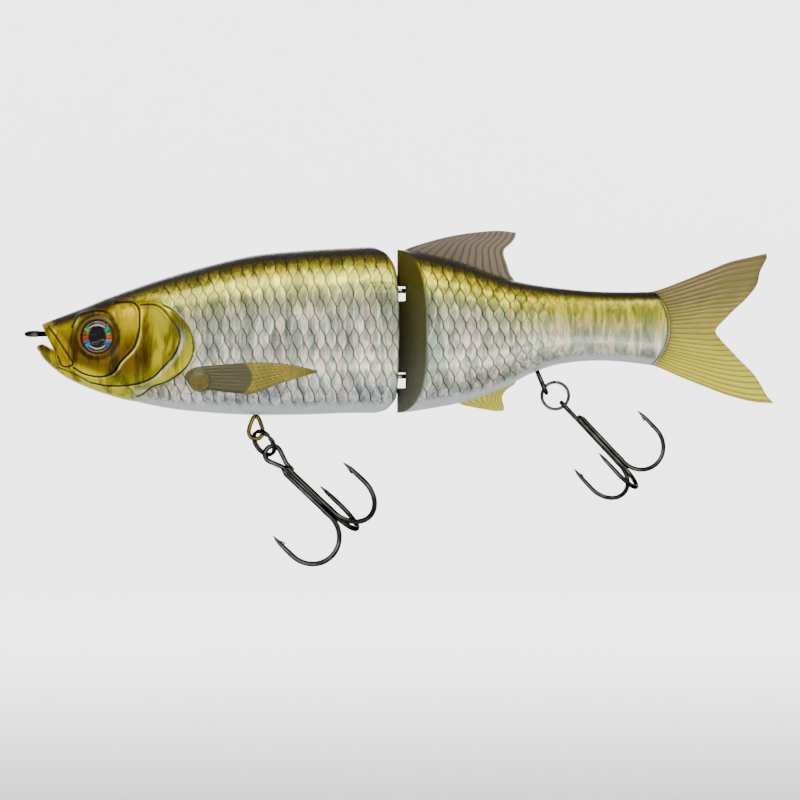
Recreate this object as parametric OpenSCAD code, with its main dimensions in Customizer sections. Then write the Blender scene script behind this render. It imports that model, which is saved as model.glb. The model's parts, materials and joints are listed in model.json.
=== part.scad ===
// Two-section glide swimbait: hollow hard body in two hinged sections, soft fins and tail,
// swivelling hook hangers, split rings and treble hooks.
// X runs from the nose to the tail, Z is up, and the line tie's eye is centred on the origin.

/* [Body] */
// Widest point of the body, side to side
body_w = 24; // [20:0.5:28]
// Wall thickness of the hollow shells
wall = 1.6; // [1.2:0.1:2]
// Angle of each of the rear section's two bevelled front faces
bevel_angle = 36; // [33:1:39]
// Gap between a moulded pocket and the piece it holds
pocket_gap = 0.06; // [0.04:0.01:0.12]

/* [Hinge] */
// Distance of the body hinge's axis behind the line tie
hinge_x = 91.5; // [91.2:0.1:92]
// Diameter of the hinge pin
pin_d = 1.6; // [1.2:0.1:1.8]
// Height of the upper hinge eye
upper_eye_z = 10.4; // [9.5:0.1:11]
// Height of the lower hinge eye
lower_eye_z = -10.3; // [-11:0.1:-9.5]
// Wire diameter of the line tie and the hinge eyes
tie_wire_d = 1.1; // [0.9:0.05:1.2]

/* [Hook hangers] */
// Wire diameter of the swivel eyes
swivel_wire_d = 1.05; // [0.9:0.05:1.1]
// Length of a swivel eye below the belly
swivel_eye_len = 5.55; // [5.3:0.05:5.7]
// Mean diameter of the split rings
ring_d = 6.5; // [6.4:0.05:6.7]
// Radial thickness of the split rings' wire
ring_wire = 0.75; // [0.65:0.05:0.75]
// Height of the two coils of a split ring
ring_height = 1.15; // [1:0.05:1.2]

/* [Treble hooks] */
// Wire diameter of the front treble
treble_wire_d = 1.25; // [1:0.05:1.35]
// Distance from the front treble's eye to the centre of its bends
treble_shank = 22.3; // [21:0.1:25]
// Bend radius of the front treble
treble_bend_r = 6.9; // [6:0.1:7.5]
// Size of the rear treble beside the front one
rear_treble_ratio = 0.86; // [0.8:0.01:0.95]
// Distance from the rear treble's eye to the centre of its bends
rear_treble_shank = 20.75; // [19.5:0.05:22]

/* [Eyes] */
// Diameter of an eye
eye_d = 8.4; // [7.6:0.1:8.8]
// Height of the lens dome above its rim
lens_rise = 1.2; // [0.8:0.1:1.5]

/* [Soft fins] */
// Thickness of the tail fin
tail_t = 2; // [1.6:0.1:2.4]
// Thickness of the dorsal and anal fins
fin_t = 1.2; // [1:0.1:1.5]

/* [Hidden] */
$fn = 48;
LEFT = -1;
RIGHT = 1;

// Outline of the body seen from the side, and its half width seen from above
back_line = [[0.9, 1.6], [2, 2.4], [6.2, 4.1], [12, 6.3], [17.8, 8.7], [29.4, 12.8], [41, 16.2],
    [52.6, 18.9], [64.2, 20.1], [75.9, 20.8], [82, 21], [87.7, 20.4], [92.7, 19.8], [96.6, 19],
    [103, 17.4], [109.5, 15], [116, 12.9], [122.3, 11.7], [133.9, 10.4], [145.6, 10.1], [154, 10.2]];
belly_line = [[0.9, -3.9], [2.5, -6.3], [6.2, -9.5], [9.1, -11.3], [14.9, -13.8], [20.7, -15.5],
    [32.3, -18], [43.9, -19.2], [52.6, -19.6], [64.2, -19.6], [75.9, -19.2], [88.5, -19.1],
    [95.2, -18.2], [102.7, -16.8], [109.5, -14.8], [114.5, -12.7], [119.4, -10], [125.2, -7.8],
    [131, -6.8], [136.9, -6.5], [142.7, -6.8], [154, -8.2]];
half_width_line = [[0.9, 0.14], [3, 0.27], [6, 0.385], [12, 0.55], [20, 0.7], [30, 0.85],
    [40, 0.935], [52, 0.985], [65, 1], [80, 0.965], [88.5, 0.93], [96, 0.88], [105, 0.79],
    [115, 0.65], [125, 0.51], [135, 0.41], [145, 0.34], [154, 0.29]];

// Cubic curve through a list of [x, y] points
function place(line, x, i = 0) = i >= len(line) - 2 || x < line[i + 1][0] ? i : place(line, x, i + 1);
function slope(line, i) =
    let (a = max(i - 1, 0), b = min(i + 1, len(line) - 1))
    (line[b][1] - line[a][1]) / (line[b][0] - line[a][0]);
function curve(line, x) =
    let (i = place(line, x), w = line[i + 1][0] - line[i][0], t = (x - line[i][0]) / w)
    line[i][1] * (2 * t * t * t - 3 * t * t + 1) + line[i + 1][1] * (3 * t * t - 2 * t * t * t)
    + slope(line, i) * w * (t * t * t - 2 * t * t + t) + slope(line, i + 1) * w * (t * t * t - t * t);

// Half of the body's cross-section at x, drawn inset from the skin, from the back to the belly
section_steps = 16;
back_power = 2.8;
belly_power = 3.6;
side_power = 2.2;
function half_section(x, inset) =
    let (top = curve(back_line, x) - inset, low = curve(belly_line, x) + inset,
        mid = (top + low) / 2, rise = (top - low) / 2,
        half = curve(half_width_line, x) * body_w / 2 - inset)
    [for (i = [0 : section_steps])
        let (a = 90 - 180 * i / section_steps, s = sign(sin(a)) * pow(abs(sin(a)), 0.8),
            p = s > 0 ? back_power : belly_power)
        [x, half * pow(max(1 - pow(abs(s), p), 0), 1 / side_power), mid + rise * s]];

// One side of the body between two stations: its section is convex, so a hull is exact
module body_slice(x0, x1, inset) {
    a = half_section(x0, inset);
    b = half_section(x1, inset);
    n = section_steps + 1;
    hull() polyhedron(points = concat(a, b), faces = concat(
        [[for (i = [0 : n - 1]) i]], [[for (i = [0 : n - 1]) 2 * n - 1 - i]],
        [for (i = [0 : n - 1]) [i, n + i, n + (i + 1) % n, (i + 1) % n]]));
}
module half_body(stations, inset = 0) {
    for (i = [0 : len(stations) - 2]) body_slice(stations[i], stations[i + 1], inset);
}
function stations(x0, x1, count) = [for (i = [0 : count]) x0 + (x1 - x0) * i / count];

// Front section
nose_x = 0.9;
front_end_x = 88.5;
front_hollow = 1.1;
groove_r = 4.3;
nose_stations = [nose_x, 1.6, 2.5, 4, 6.2, 9, 12, 15, 18, 21];
trunk_stations = stations(21, 88.6, 17);
front_chambers = [[22, 48], [59, 79.5]];
front_weights = [[28, -8.5, 12], [39, -11.3, 13], [68, -12.2, 14]];
weight_r = 4;
boss_wall = 1;
mouth = [[1.6, 6], [2, 2.2], [5.4, -4.2], [2.1, -2.5], [0.9, -2.9], [-5, -2.9], [-5, 6]];

// Rear section
apex_x = 87.8;
rear_end_arc = [141.6, 1.4, 12.3];
apex_flat = 0.15;
rear_stations = concat([86], stations(90, 154, 18));
rear_chamber = [100, 116];
rear_weight = [106, -8.5, 11];
rear_weight_r = 3.4;
eye_slot_half = 2.9;
eye_slots = [[7.9, 11.5], [-13.1, -9.4]];
pin_span = [-16, 14.5];

// Eyes
eye_at = [15.8, -0.85];
eye_yaw = 11;
eye_face_y = 7.35;
eye_disc_t = 1;
socket_depth = 2.1;

// Hook hangers: where each eye leaves the belly, and its lean from the vertical
front_hanger_at = [53.6, -19.9];
front_hanger_lean = 0;
rear_hanger_at = [121.75, -9.2];
rear_hanger_lean = -22.9;
hanger_loop_r = 1.7;
hanger_neck_r = 0.6;
barrel_r = 1.9;
barrel_len = 6.2;
stem_r = 0.55;
head_r = 1.1;
swivel_fit = 0.1;

// Links. Each dip is the angle below the horizontal at which a piece lies from the one before it.
// The front swivel eye and treble eye face sideways, so the front ring threads them at an angle.
// The rear ones face fore and aft, so the rear ring hangs in them flat.
link_gap = 0.1;
function dipped(angle) = [cos(angle), -sin(angle)];
front_ring_dip = 52;
front_ring_turn = 52;
front_treble_dip = 43.5;
rear_ring_dip = 16.6;
rear_hook_dip = 48;
rear_treble_dip = 46.8;
front_thread_at = front_hanger_at + [0, hanger_loop_r - swivel_eye_len - 0.1];
front_ring_at = front_thread_at + ring_d / 2 * dipped(front_ring_dip);
front_treble_at = front_ring_at + ring_d / 2 * dipped(front_ring_dip) - 1.75 * dipped(front_treble_dip);
rear_loop_end = rear_hanger_at + swivel_eye_len * dipped(90 + rear_hanger_lean);
rear_ring_at = rear_loop_end
    + (ring_d / 2 - ring_wire / 2 - swivel_wire_d / 2 - link_gap) * dipped(rear_ring_dip);
rear_treble_at = rear_ring_at + (ring_d / 2 - ring_wire / 2 - rear_treble_ratio * treble_wire_d / 2
    - link_gap) * dipped(rear_hook_dip);
front_prong_angles = [21, 141, 261];
rear_prong_angles = [77, 197, 317];
front_shank_shift = -0.6;
rear_shank_shift = 0.6;

// Fin outlines seen from the side
dorsal_edge = [[89.4, 20.2], [93.3, 21.7], [97.1, 22.8], [102, 23.9], [107.7, 24.7], [112.6, 25],
    [116.7, 24.5], [116.2, 23], [115.1, 21.7], [113.8, 20.5], [113.6, 19.2], [114.3, 17.1],
    [115.1, 14.6], [116.2, 12.9]];
anal_edge = [[102.8, -16.9], [106.3, -17.8], [109.5, -18.4], [112.8, -18.75], [113.6, -18.6],
    [113.8, -17.8], [113.2, -15.5], [114, -13.9], [115.2, -12.9], [116.5, -12.1]];
tail_top_edge = [[141, 9.8], [150, 10.2], [156.5, 12.7], [162.5, 15.1], [168.5, 17.5],
    [173.7, 18.7], [177.2, 19.5]];
tail_notch = [[177.3, 18.4], [175.7, 15.1], [174.9, 11.9], [172.3, 8.5], [169.7, 6.1],
    [167.5, 3.9], [164.9, 0.8], [165.9, -1.1], [168.3, -3.7], [170.7, -6.3], [173.9, -9.5],
    [175.9, -12.5], [177.3, -15]];
tail_low_edge = [[179, -16.8], [174.5, -16.4], [168.5, -15.1], [162.5, -12.9], [156.5, -10.5],
    [150.4, -7.9], [146, -6.9]];
pectoral_edge = [[36.7, -10], [38, -8.7], [39.8, -8.1], [44.5, -7.6], [51.4, -7.1], [57.2, -7.1],
    [63, -7.8], [68.3, -9.3], [64.2, -10.6], [58.4, -12.4], [52.8, -14.5], [46.8, -14.2],
    [42.4, -13.6], [40, -14.1], [38, -12.2]];
pectoral_root = [37, 10.15];
pectoral_angle = 2.3;
pectoral_shift = 0.6;
pectoral_t = 1.4;
tail_hinge_x = 155;
tail_pivot_r = 1;

module to_side(side) { if (side == LEFT) mirror([0, 1, 0]) children(); else children(); }
// Turns a flat outline drawn in X and Z into a plate across Y
module plate(thickness) { rotate([90, 0, 0]) linear_extrude(thickness, center = true) children(); }
module across(x, z, r, length) {
    translate([x, 0, z]) rotate([90, 0, 0]) cylinder(h = length, r = r, center = true);
}

// A wire bent in one plane: rings of points along a flat path, which may close on itself
function turn_at(path, i, closed) =
    let (n = len(path), a = path[closed ? (i + n - 1) % n : max(i - 1, 0)],
        b = path[closed ? (i + 1) % n : min(i + 1, n - 1)], d = b - a) d / norm(d);
module flat_wire(path, r, sides = 12, closed = false) {
    n = len(path);
    points = [for (i = [0 : n - 1]) let (t = turn_at(path, i, closed)) for (k = [0 : sides - 1])
        let (a = 360 * k / sides, c = r * cos(a))
        [path[i][0] - t[1] * c, path[i][1] + t[0] * c, r * sin(a)]];
    walls = [for (i = [0 : n - (closed ? 1 : 2)]) for (k = [0 : sides - 1])
        let (j = (k + 1) % sides, m = (i + 1) % n)
        [i * sides + k, m * sides + k, m * sides + j, i * sides + j]];
    ends = closed ? [] : [[for (k = [0 : sides - 1]) k], [for (k = [0 : sides - 1]) n * sides - 1 - k]];
    polyhedron(points = points, faces = concat(walls, ends));
}
function arc(centre, r, from, to, count) =
    [for (i = [0 : count]) let (a = from + (to - from) * i / count) centre + r * [cos(a), sin(a)]];

// A hairpin of wire with an eye centred on the origin and two legs side by side along X
leg_y = 0.62;
function hairpin(eye_r, leg_start, leg_end, from) = concat([[leg_end, -leg_y], [leg_start, -leg_y]],
    arc([0, 0], eye_r, -from, from - 360, 22), [[leg_start, leg_y], [leg_end, leg_y]]);
tie_path = hairpin(1.8, 2.9, 12, 38);
hinge_fit = 0.08;
hinge_eye_r = pin_d / 2 + tie_wire_d / 2 + hinge_fit;
hinge_path = hairpin(hinge_eye_r, 2.6, 10.5, 42);
tie_roll = 9;
module tie_wire(r) { rotate([tie_roll, 0, 0]) flat_wire(tie_path, r); }
module hinge_wire(z, r) { translate([hinge_x, 0, z]) mirror([1, 0, 0]) flat_wire(hinge_path, r); }

// Moves a hanger's own frame, whose loop hangs down from its origin, to its place on the belly
module at_hanger(at, lean) { translate([at[0], 0, at[1]]) rotate([0, lean, 0]) children(); }
module barrel_pocket(at, lean) {
    at_hanger(at, lean) translate([0, 0, -3])
        cylinder(h = barrel_len + 3.4 + pocket_gap, r = barrel_r + pocket_gap);
}

// Lays a flat piece drawn in X and Z against one side of the body
module pectoral_place(side) {
    to_side(side) translate([pectoral_root[0] + pectoral_shift, pectoral_root[1], 0])
        rotate([0, 0, pectoral_angle])
        translate([-pectoral_root[0], 0, 0]) rotate([90, 0, 0]) mirror([0, 0, 1]) children();
}
// Turns a piece drawn along Z to face out of one side of the head
module eye_place(side) {
    to_side(side) translate([eye_at[0], eye_face_y, eye_at[1]])
        rotate([0, 0, eye_yaw]) rotate([-90, 0, 0]) children();
}

// Seen from the side, the front section ends in a gentle bulge with round corners
module front_end_outline() {
    hull() {
        translate([81, 13.4]) circle(r = 7.3);
        translate([front_end_x - 24, -0.5]) circle(r = 24);
        translate([84, -14.6]) circle(r = 4.1);
        translate([70, -25]) square([1, 50]);
    }
}
module front_cavity() {
    difference() {
        for (c = front_chambers) half_body(stations(c[0], c[1], 5), wall);
        for (w = front_weights) across(w[0], w[1], weight_r + boss_wall, 40);
    }
}
module front_shell(side) {
    color("silver") to_side(side) difference() {
        half_body(concat(nose_stations, [for (i = [1 : len(trunk_stations) - 1]) trunk_stations[i]]));
        front_cavity();
        plate(60) polygon(mouth);
        plate(60) difference() { translate([75, -30]) square([20, 60]); front_end_outline(); }
        translate([front_end_x, 0, -30]) linear_extrude(60)
            polygon([[10, -1], [-front_hollow, -1], [-front_hollow, 0], [0.1, 13], [10, 13]]);
        translate([hinge_x, 0, -30]) cylinder(h = 60, r = groove_r);
        for (w = front_weights) across(w[0], w[1], weight_r + pocket_gap, w[2] + 2 * pocket_gap);
        to_side(side) tie_wire(tie_wire_d / 2 + pocket_gap);
        for (z = [upper_eye_z, lower_eye_z]) hinge_wire(z, tie_wire_d / 2 + pocket_gap);
        barrel_pocket(front_hanger_at, front_hanger_lean);
        eye_place(RIGHT) translate([0, 0, -socket_depth]) cylinder(h = 10, r = eye_d / 2 + 0.1);
        pectoral_place(RIGHT) linear_extrude(6) offset(delta = pocket_gap) polygon(pectoral_edge);
    }
}

// Rear section
module rear_end_outline() {
    hull() {
        translate([rear_end_arc[0], rear_end_arc[1]]) circle(r = rear_end_arc[2]);
        translate([120, -25]) square([1, 50]);
    }
}
module tail_root_outline() {
    intersection() {
        polygon(concat(tail_top_edge, tail_notch, tail_low_edge));
        translate([141, -12]) square([tail_hinge_x - 141, 30]);
    }
}
module eye_slot(span) {
    translate([0, 0, span[0]]) linear_extrude(span[1] - span[0]) {
        translate([hinge_x, 0]) circle(r = eye_slot_half);
        translate([apex_x - 2, -eye_slot_half]) square([hinge_x - apex_x + 2, 2 * eye_slot_half]);
    }
}
module rear_shell(side) {
    bevel = tan(bevel_angle);
    color("gainsboro") to_side(side) difference() {
        half_body(rear_stations);
        difference() {
            half_body(stations(rear_chamber[0], rear_chamber[1], 4), wall);
            across(rear_weight[0], rear_weight[1], rear_weight_r + boss_wall, 40);
        }
        translate([0, 0, -30]) linear_extrude(60)
            polygon([[80, -1], [apex_x, -1], [apex_x, apex_flat], [apex_x + 16 * bevel, 16], [80, 16]]);
        plate(60) difference() { translate([145, -30]) square([20, 60]); rear_end_outline(); }
        translate([hinge_x, 0, pin_span[0]])
            cylinder(h = pin_span[1] - pin_span[0], r = pin_d / 2 + pocket_gap);
        for (s = eye_slots) eye_slot(s);
        across(rear_weight[0], rear_weight[1], rear_weight_r + pocket_gap, rear_weight[2] + 2 * pocket_gap);
        barrel_pocket(rear_hanger_at, rear_hanger_lean);
        plate(fin_t + 2 * pocket_gap) offset(delta = pocket_gap) dorsal_outline();
        plate(fin_t + 2 * pocket_gap) offset(delta = pocket_gap) anal_outline();
        plate(tail_t + 2 * pocket_gap) offset(delta = pocket_gap) tail_root_outline();
        across(tail_pin_at[0], tail_pin_at[1], tail_pin_r + pocket_gap, tail_pin_len + 2 * pocket_gap);
    }
}

// Wire pieces held by the shells
module line_tie() { color("dimgray") tie_wire(tie_wire_d / 2); }
module upper_hinge_eye() { color("silver") hinge_wire(upper_eye_z, tie_wire_d / 2); }
module lower_hinge_eye() { color("silver") hinge_wire(lower_eye_z, tie_wire_d / 2); }
module hinge_pin() {
    color("silver") translate([hinge_x, 0, pin_span[0] + pocket_gap])
        cylinder(h = pin_span[1] - pin_span[0] - 2 * pocket_gap, r = pin_d / 2);
}
module ballast(weight, r) { color("gray") across(weight[0], weight[1], r, weight[2]); }

// Eyes: a printed disc under a clear dome
module eye_disc(side) {
    color("goldenrod") eye_place(side) translate([0, 0, -socket_depth + pocket_gap])
        cylinder(h = eye_disc_t, r = eye_d / 2);
}
module eye_lens(side) {
    rim = socket_depth - eye_disc_t - pocket_gap - 0.05;
    dome_r = (pow(eye_d / 2, 2) + pow(lens_rise, 2)) / (2 * lens_rise);
    color("lightcyan") eye_place(side) translate([0, 0, -rim]) {
        cylinder(h = rim, r = eye_d / 2);
        translate([0, 0, rim]) intersection() {
            cylinder(h = lens_rise + 1, r = eye_d / 2);
            translate([0, 0, lens_rise - dome_r]) sphere(r = dome_r);
        }
    }
}

// Soft fins
root_depth = 2.6;
module dorsal_outline() {
    root = [for (i = [6 : -1 : 0]) let (x = 91.5 + i * 3.8) [x, curve(back_line, x) - root_depth]];
    polygon(concat(dorsal_edge, root));
}
module anal_outline() {
    root = [for (i = [3 : -1 : 0]) let (x = 104.5 + i * 3.4) [x, curve(belly_line, x) + root_depth]];
    polygon(concat(anal_edge, root));
}
module dorsal_fin() { color("rosybrown") plate(fin_t) dorsal_outline(); }
module anal_fin() { color("darkkhaki") plate(fin_t) anal_outline(); }
module pectoral_fin(side) {
    color("olive") pectoral_place(side) translate([0, 0, pocket_gap])
        linear_extrude(pectoral_t) polygon(pectoral_edge);
}
tail_pin_at = [147.5, 1.5];
tail_pin_r = 0.8;
tail_pin_len = 5.4;
module tail_root() {
    color("khaki") difference() {
        plate(tail_t) tail_root_outline();
        translate([tail_hinge_x, 0, -30]) cylinder(h = 60, r = tail_pivot_r + 0.12);
        across(tail_pin_at[0], tail_pin_at[1], tail_pin_r + pocket_gap, 10);
    }
}
module tail_pin() { color("dimgray") across(tail_pin_at[0], tail_pin_at[1], tail_pin_r, tail_pin_len); }
// The tail's blade turns on the line where the soft plastic leaves the body
module tail_blade() {
    top = 12;
    low = -9.8;
    color("khaki") union() {
        plate(tail_t) intersection() {
            polygon(concat(tail_top_edge, tail_notch, tail_low_edge));
            translate([tail_hinge_x, -25]) square([40, 50]);
        }
        translate([tail_hinge_x, 0, low]) cylinder(h = top - low, r = tail_pivot_r);
    }
}

// Swivels: a barrel in the belly holds the headed stem of a teardrop eye
module swivel_barrel(at, lean) {
    color("dimgray") at_hanger(at, lean) difference() {
        translate([0, 0, 0.4]) cylinder(h = barrel_len, r = barrel_r);
        cylinder(h = 2.4, r = stem_r + swivel_fit);
        translate([0, 0, 1.8]) cylinder(h = 2.6, r = head_r + swivel_fit);
    }
}
module swivel_eye(at, lean, turn) {
    low = swivel_eye_len - hanger_loop_r;
    lean_in = asin((hanger_loop_r - hanger_neck_r) / (low - hanger_neck_r));
    path = concat(arc([0, -low], hanger_loop_r, lean_in, -180 - lean_in, 20),
        arc([0, -hanger_neck_r], hanger_neck_r, -180 - lean_in, lean_in - 360, 8));
    color("darkgoldenrod") at_hanger(at, lean) rotate([0, 0, turn]) {
        rotate([90, 0, 0]) flat_wire(path, swivel_wire_d / 2, 12, true);
        translate([0, 0, -0.3]) cylinder(h = 2.8, r = stem_r);
        translate([0, 0, 2.1]) cylinder(h = 1.6, r = head_r);
    }
}

// Split rings, drawn as one band with the section of their two coils
module split_ring() {
    w = ring_wire / 2;
    h = ring_height / 2;
    c = 0.2;
    color("dimgray") rotate_extrude() translate([ring_d / 2, 0]) polygon([[w, c - h], [w, h - c],
        [w - c, h], [c - w, h], [-w, h - c], [-w, c - h], [c - w, -h], [w - c, -h]]);
}
module front_split_ring() {
    translate([front_ring_at[0], 0, front_ring_at[1]]) rotate([0, front_ring_dip, 0])
        rotate([90 + front_ring_turn, 0, 0]) split_ring();
}
module rear_split_ring() {
    translate([rear_ring_at[0], 0, rear_ring_at[1]]) rotate([90, 0, 0]) split_ring();
}

// Treble hook: eye at the origin, shank down Z, each prong in its own radial plane
module treble(size, shank, prongs, shift, eye_turn, point_len) {
    r = treble_wire_d / 2;
    shank_y = 0.78;
    leg = shank_y + 2 * treble_bend_r;
    point_z = shank - 2.2;
    tip_z = shank - point_len;
    eye_r = 1.95;
    throat = 6.1;
    eye_leg = 0.62;
    prong = concat([[shank_y, -throat], [shank_y, 3 - shank], [shank_y + 0.1, 1 - shank]],
        arc([shank_y + treble_bend_r, -shank], treble_bend_r, 180, 360, 16), [[leg, -point_z]]);
    color("darkslategray") scale(size) {
        translate([shift, 0, 0]) for (a = prongs) rotate([0, 0, a]) mirror([1, 0, 0]) {
            rotate([90, 0, 0]) flat_wire(prong, r, 10);
            hull() {
                translate([leg, 0, -point_z]) cylinder(h = 0.01, r = r);
                translate([leg - 0.15, 0, -tip_z - 1.6]) cylinder(h = 0.01, r = r * 0.5);
            }
            hull() {
                translate([leg - 0.15, 0, -tip_z - 1.6]) cylinder(h = 0.01, r = r * 0.5);
                translate([leg - 0.3, 0, -tip_z]) cylinder(h = 0.01, r = 0.06);
            }
            hull() {
                translate([leg - 0.1, 0, -tip_z - 2.2]) sphere(r = 0.28, $fn = 8);
                translate([leg - 1.05, 0, -tip_z - 3.4]) sphere(r = 0.1, $fn = 8);
                translate([leg - 0.2, 0, -tip_z - 3.2]) sphere(r = 0.28, $fn = 8);
            }
        }
        rotate([0, 0, eye_turn]) rotate([90, 0, 0]) flat_wire(concat(
            [[-eye_leg, -throat - 1.5], [-eye_leg, -throat + 0.3]], arc([0, -eye_r], eye_r, 200, -20, 16),
            [[eye_leg, -throat + 0.3], [eye_leg, -throat - 1.5]]), r * 0.95, 10);
        hull() for (a = prongs) translate([shift, 0, -throat - 12]) rotate([0, 0, a])
            translate([-shank_y * 0.7, 0, 0]) cylinder(h = 12.4, r = r * 0.8, $fn = 12);
    }
}
module front_treble() {
    translate([front_treble_at[0], 0, front_treble_at[1]]) rotate([0, front_treble_dip - 90, 0])
        treble(1, treble_shank, front_prong_angles, front_shank_shift, 0, 6.9);
}
module rear_treble() {
    translate([rear_treble_at[0], 0, rear_treble_at[1]]) rotate([0, rear_treble_dip - 90, 0])
        treble(rear_treble_ratio, rear_treble_shank / rear_treble_ratio, rear_prong_angles,
            rear_shank_shift, 90, 7.7);
}

front_shell(LEFT);  // front_shell_left
front_shell(RIGHT);  // front_shell_right
line_tie();
upper_hinge_eye();
lower_hinge_eye();
ballast(front_weights[0], weight_r);  // nose_ballast
ballast(front_weights[1], weight_r);  // chest_ballast
ballast(front_weights[2], weight_r);  // belly_ballast
swivel_barrel(front_hanger_at, front_hanger_lean);  // front_swivel_barrel
eye_disc(LEFT);  // eye_disc_left
eye_disc(RIGHT);  // eye_disc_right
eye_lens(LEFT);  // eye_lens_left
eye_lens(RIGHT);  // eye_lens_right
pectoral_fin(LEFT);  // pectoral_fin_left
pectoral_fin(RIGHT);  // pectoral_fin_right
rear_shell(LEFT);  // rear_shell_left
rear_shell(RIGHT);  // rear_shell_right
hinge_pin();
ballast(rear_weight, rear_weight_r);  // rear_ballast
swivel_barrel(rear_hanger_at, rear_hanger_lean);  // rear_swivel_barrel
dorsal_fin();
anal_fin();
tail_root();
tail_pin();
tail_blade();
swivel_eye(front_hanger_at, front_hanger_lean, 0);  // front_swivel_eye
front_split_ring();
front_treble();
swivel_eye(rear_hanger_at, rear_hanger_lean, 90);  // rear_swivel_eye
rear_split_ring();
rear_treble();
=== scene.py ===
import json
import math

import bmesh
import bpy
import numpy as np
from mathutils import Matrix, Vector


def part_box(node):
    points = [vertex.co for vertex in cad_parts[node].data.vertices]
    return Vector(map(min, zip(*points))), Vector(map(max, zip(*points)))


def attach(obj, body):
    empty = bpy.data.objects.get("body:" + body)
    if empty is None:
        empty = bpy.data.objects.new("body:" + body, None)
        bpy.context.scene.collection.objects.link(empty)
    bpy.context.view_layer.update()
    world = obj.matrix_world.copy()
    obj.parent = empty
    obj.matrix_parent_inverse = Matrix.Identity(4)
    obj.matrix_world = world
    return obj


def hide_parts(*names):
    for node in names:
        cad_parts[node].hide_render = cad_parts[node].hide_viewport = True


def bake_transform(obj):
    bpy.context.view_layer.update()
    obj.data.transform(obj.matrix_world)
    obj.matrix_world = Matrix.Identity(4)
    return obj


# A two-section glide swimbait with soft fins and swivelling treble hooks.
# Lengths below are in millimetres; mm turns them into Blender's metres when a mesh is made.

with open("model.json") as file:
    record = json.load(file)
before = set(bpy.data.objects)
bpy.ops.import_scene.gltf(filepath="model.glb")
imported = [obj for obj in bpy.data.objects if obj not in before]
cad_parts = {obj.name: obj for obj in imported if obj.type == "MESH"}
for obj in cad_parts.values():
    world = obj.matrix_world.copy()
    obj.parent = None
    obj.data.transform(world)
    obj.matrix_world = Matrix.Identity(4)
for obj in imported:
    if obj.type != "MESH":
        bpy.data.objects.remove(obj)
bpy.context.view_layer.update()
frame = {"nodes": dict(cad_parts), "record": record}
record = frame["record"]
mm = 0.001
joints = {joint["name"]: joint for joint in record["behaviour"]["joints"]}
# the head's lines and the paint's edges are laid out as they show from this point, away from the middle plane
sideView = {"x": 88.5, "z": -16, "away": 645}


def boxOf(node):
    low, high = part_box(node)
    return np.array(low) / mm, np.array(high) / mm


def middleOf(node):
    low, high = boxOf(node)
    return (low + high) / 2


def jointAt(name):
    return np.array(joints[name]["pos_m"]) / mm


# ---- mesh helpers ----

def curveThrough(points, x):
    # cubic through [x, value] points, the same curve that the CAD body is lofted on
    p = np.array(points, float)
    x = np.asarray(x, float)
    order = np.arange(len(p))
    before, after = np.maximum(order - 1, 0), np.minimum(order + 1, len(p) - 1)
    slope = (p[after, 1] - p[before, 1]) / (p[after, 0] - p[before, 0])
    i = np.clip(np.searchsorted(p[:, 0], x, side="right") - 1, 0, len(p) - 2)
    width = p[i + 1, 0] - p[i, 0]
    t = (x - p[i, 0]) / width
    return (p[i, 1] * (2 * t**3 - 3 * t**2 + 1) + p[i + 1, 1] * (3 * t**2 - 2 * t**3)
            + slope[i] * width * (t**3 - 2 * t**2 + t) + slope[i + 1] * width * (t**3 - t**2))


def alongLine(points, t):
    # a smooth line through [x, z] points, walked from t = 0 to t = 1
    p = np.array(points, float)
    steps = np.hypot(*np.diff(p, axis=0).T)
    reach = np.concatenate([[0], np.cumsum(steps)]) / steps.sum()
    return np.stack([curveThrough(np.stack([reach, p[:, k]], 1), t) for k in (0, 1)], -1)


def smooth(low, high, value):
    t = np.clip((value - low) / (high - low), 0, 1)
    return t * t * (3 - 2 * t)


def lineDistance(points, x, z):
    # distance in the side view to the nearest stretch of a smooth line
    line = alongLine(points, np.linspace(0, 1, 8 * len(points)))
    best = np.full(x.shape, 1e9)
    for a, b in zip(line[:-1], line[1:]):
        d = b - a
        t = np.clip(((x - a[0]) * d[0] + (z - a[1]) * d[1]) / (d @ d), 0, 1)
        best = np.minimum(best, np.hypot(x - a[0] - t * d[0], z - a[1] - t * d[1]))
    return best


def coordsOf(mesh):
    co = np.empty(len(mesh.vertices) * 3)
    mesh.vertices.foreach_get("co", co)
    return co.reshape(-1, 3)


def placeCoords(mesh, co):
    mesh.vertices.foreach_set("co", np.ascontiguousarray(co, float).ravel())
    mesh.update()


def meshFrom(bm, name):
    bmesh.ops.recalc_face_normals(bm, faces=bm.faces)
    mesh = bpy.data.meshes.new(name)
    bm.to_mesh(mesh)
    bm.free()
    return mesh


def growEdges(bm, edges):
    # extrudes a line of edges and gives back the new vertices and the new line
    made = bmesh.ops.extrude_edge_only(bm, edges=edges)["geom"]
    verts = [part for part in made if isinstance(part, bmesh.types.BMVert)]
    fresh = set(verts)
    return verts, [part for part in made if isinstance(part, bmesh.types.BMEdge)
                   and part.verts[0] in fresh and part.verts[1] in fresh]


def raiseFace(bm, corners, move):
    # a prism: one flat face drawn out by a move
    face = bm.faces.new([bm.verts.new(corner) for corner in corners])
    made = bmesh.ops.extrude_face_region(bm, geom=[face])["geom"]
    bmesh.ops.translate(bm, vec=move, verts=[part for part in made if isinstance(part, bmesh.types.BMVert)])


def gridMesh(name, across, along):
    # a flat grid with vertex positions that run from 0 to 1 both ways
    bm = bmesh.new()
    bmesh.ops.create_grid(bm, x_segments=across, y_segments=along, size=1)
    mesh = bpy.data.meshes.new(name)
    bm.to_mesh(mesh)
    bm.free()
    return mesh, (coordsOf(mesh)[:, :2] + 1) / 2


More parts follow.
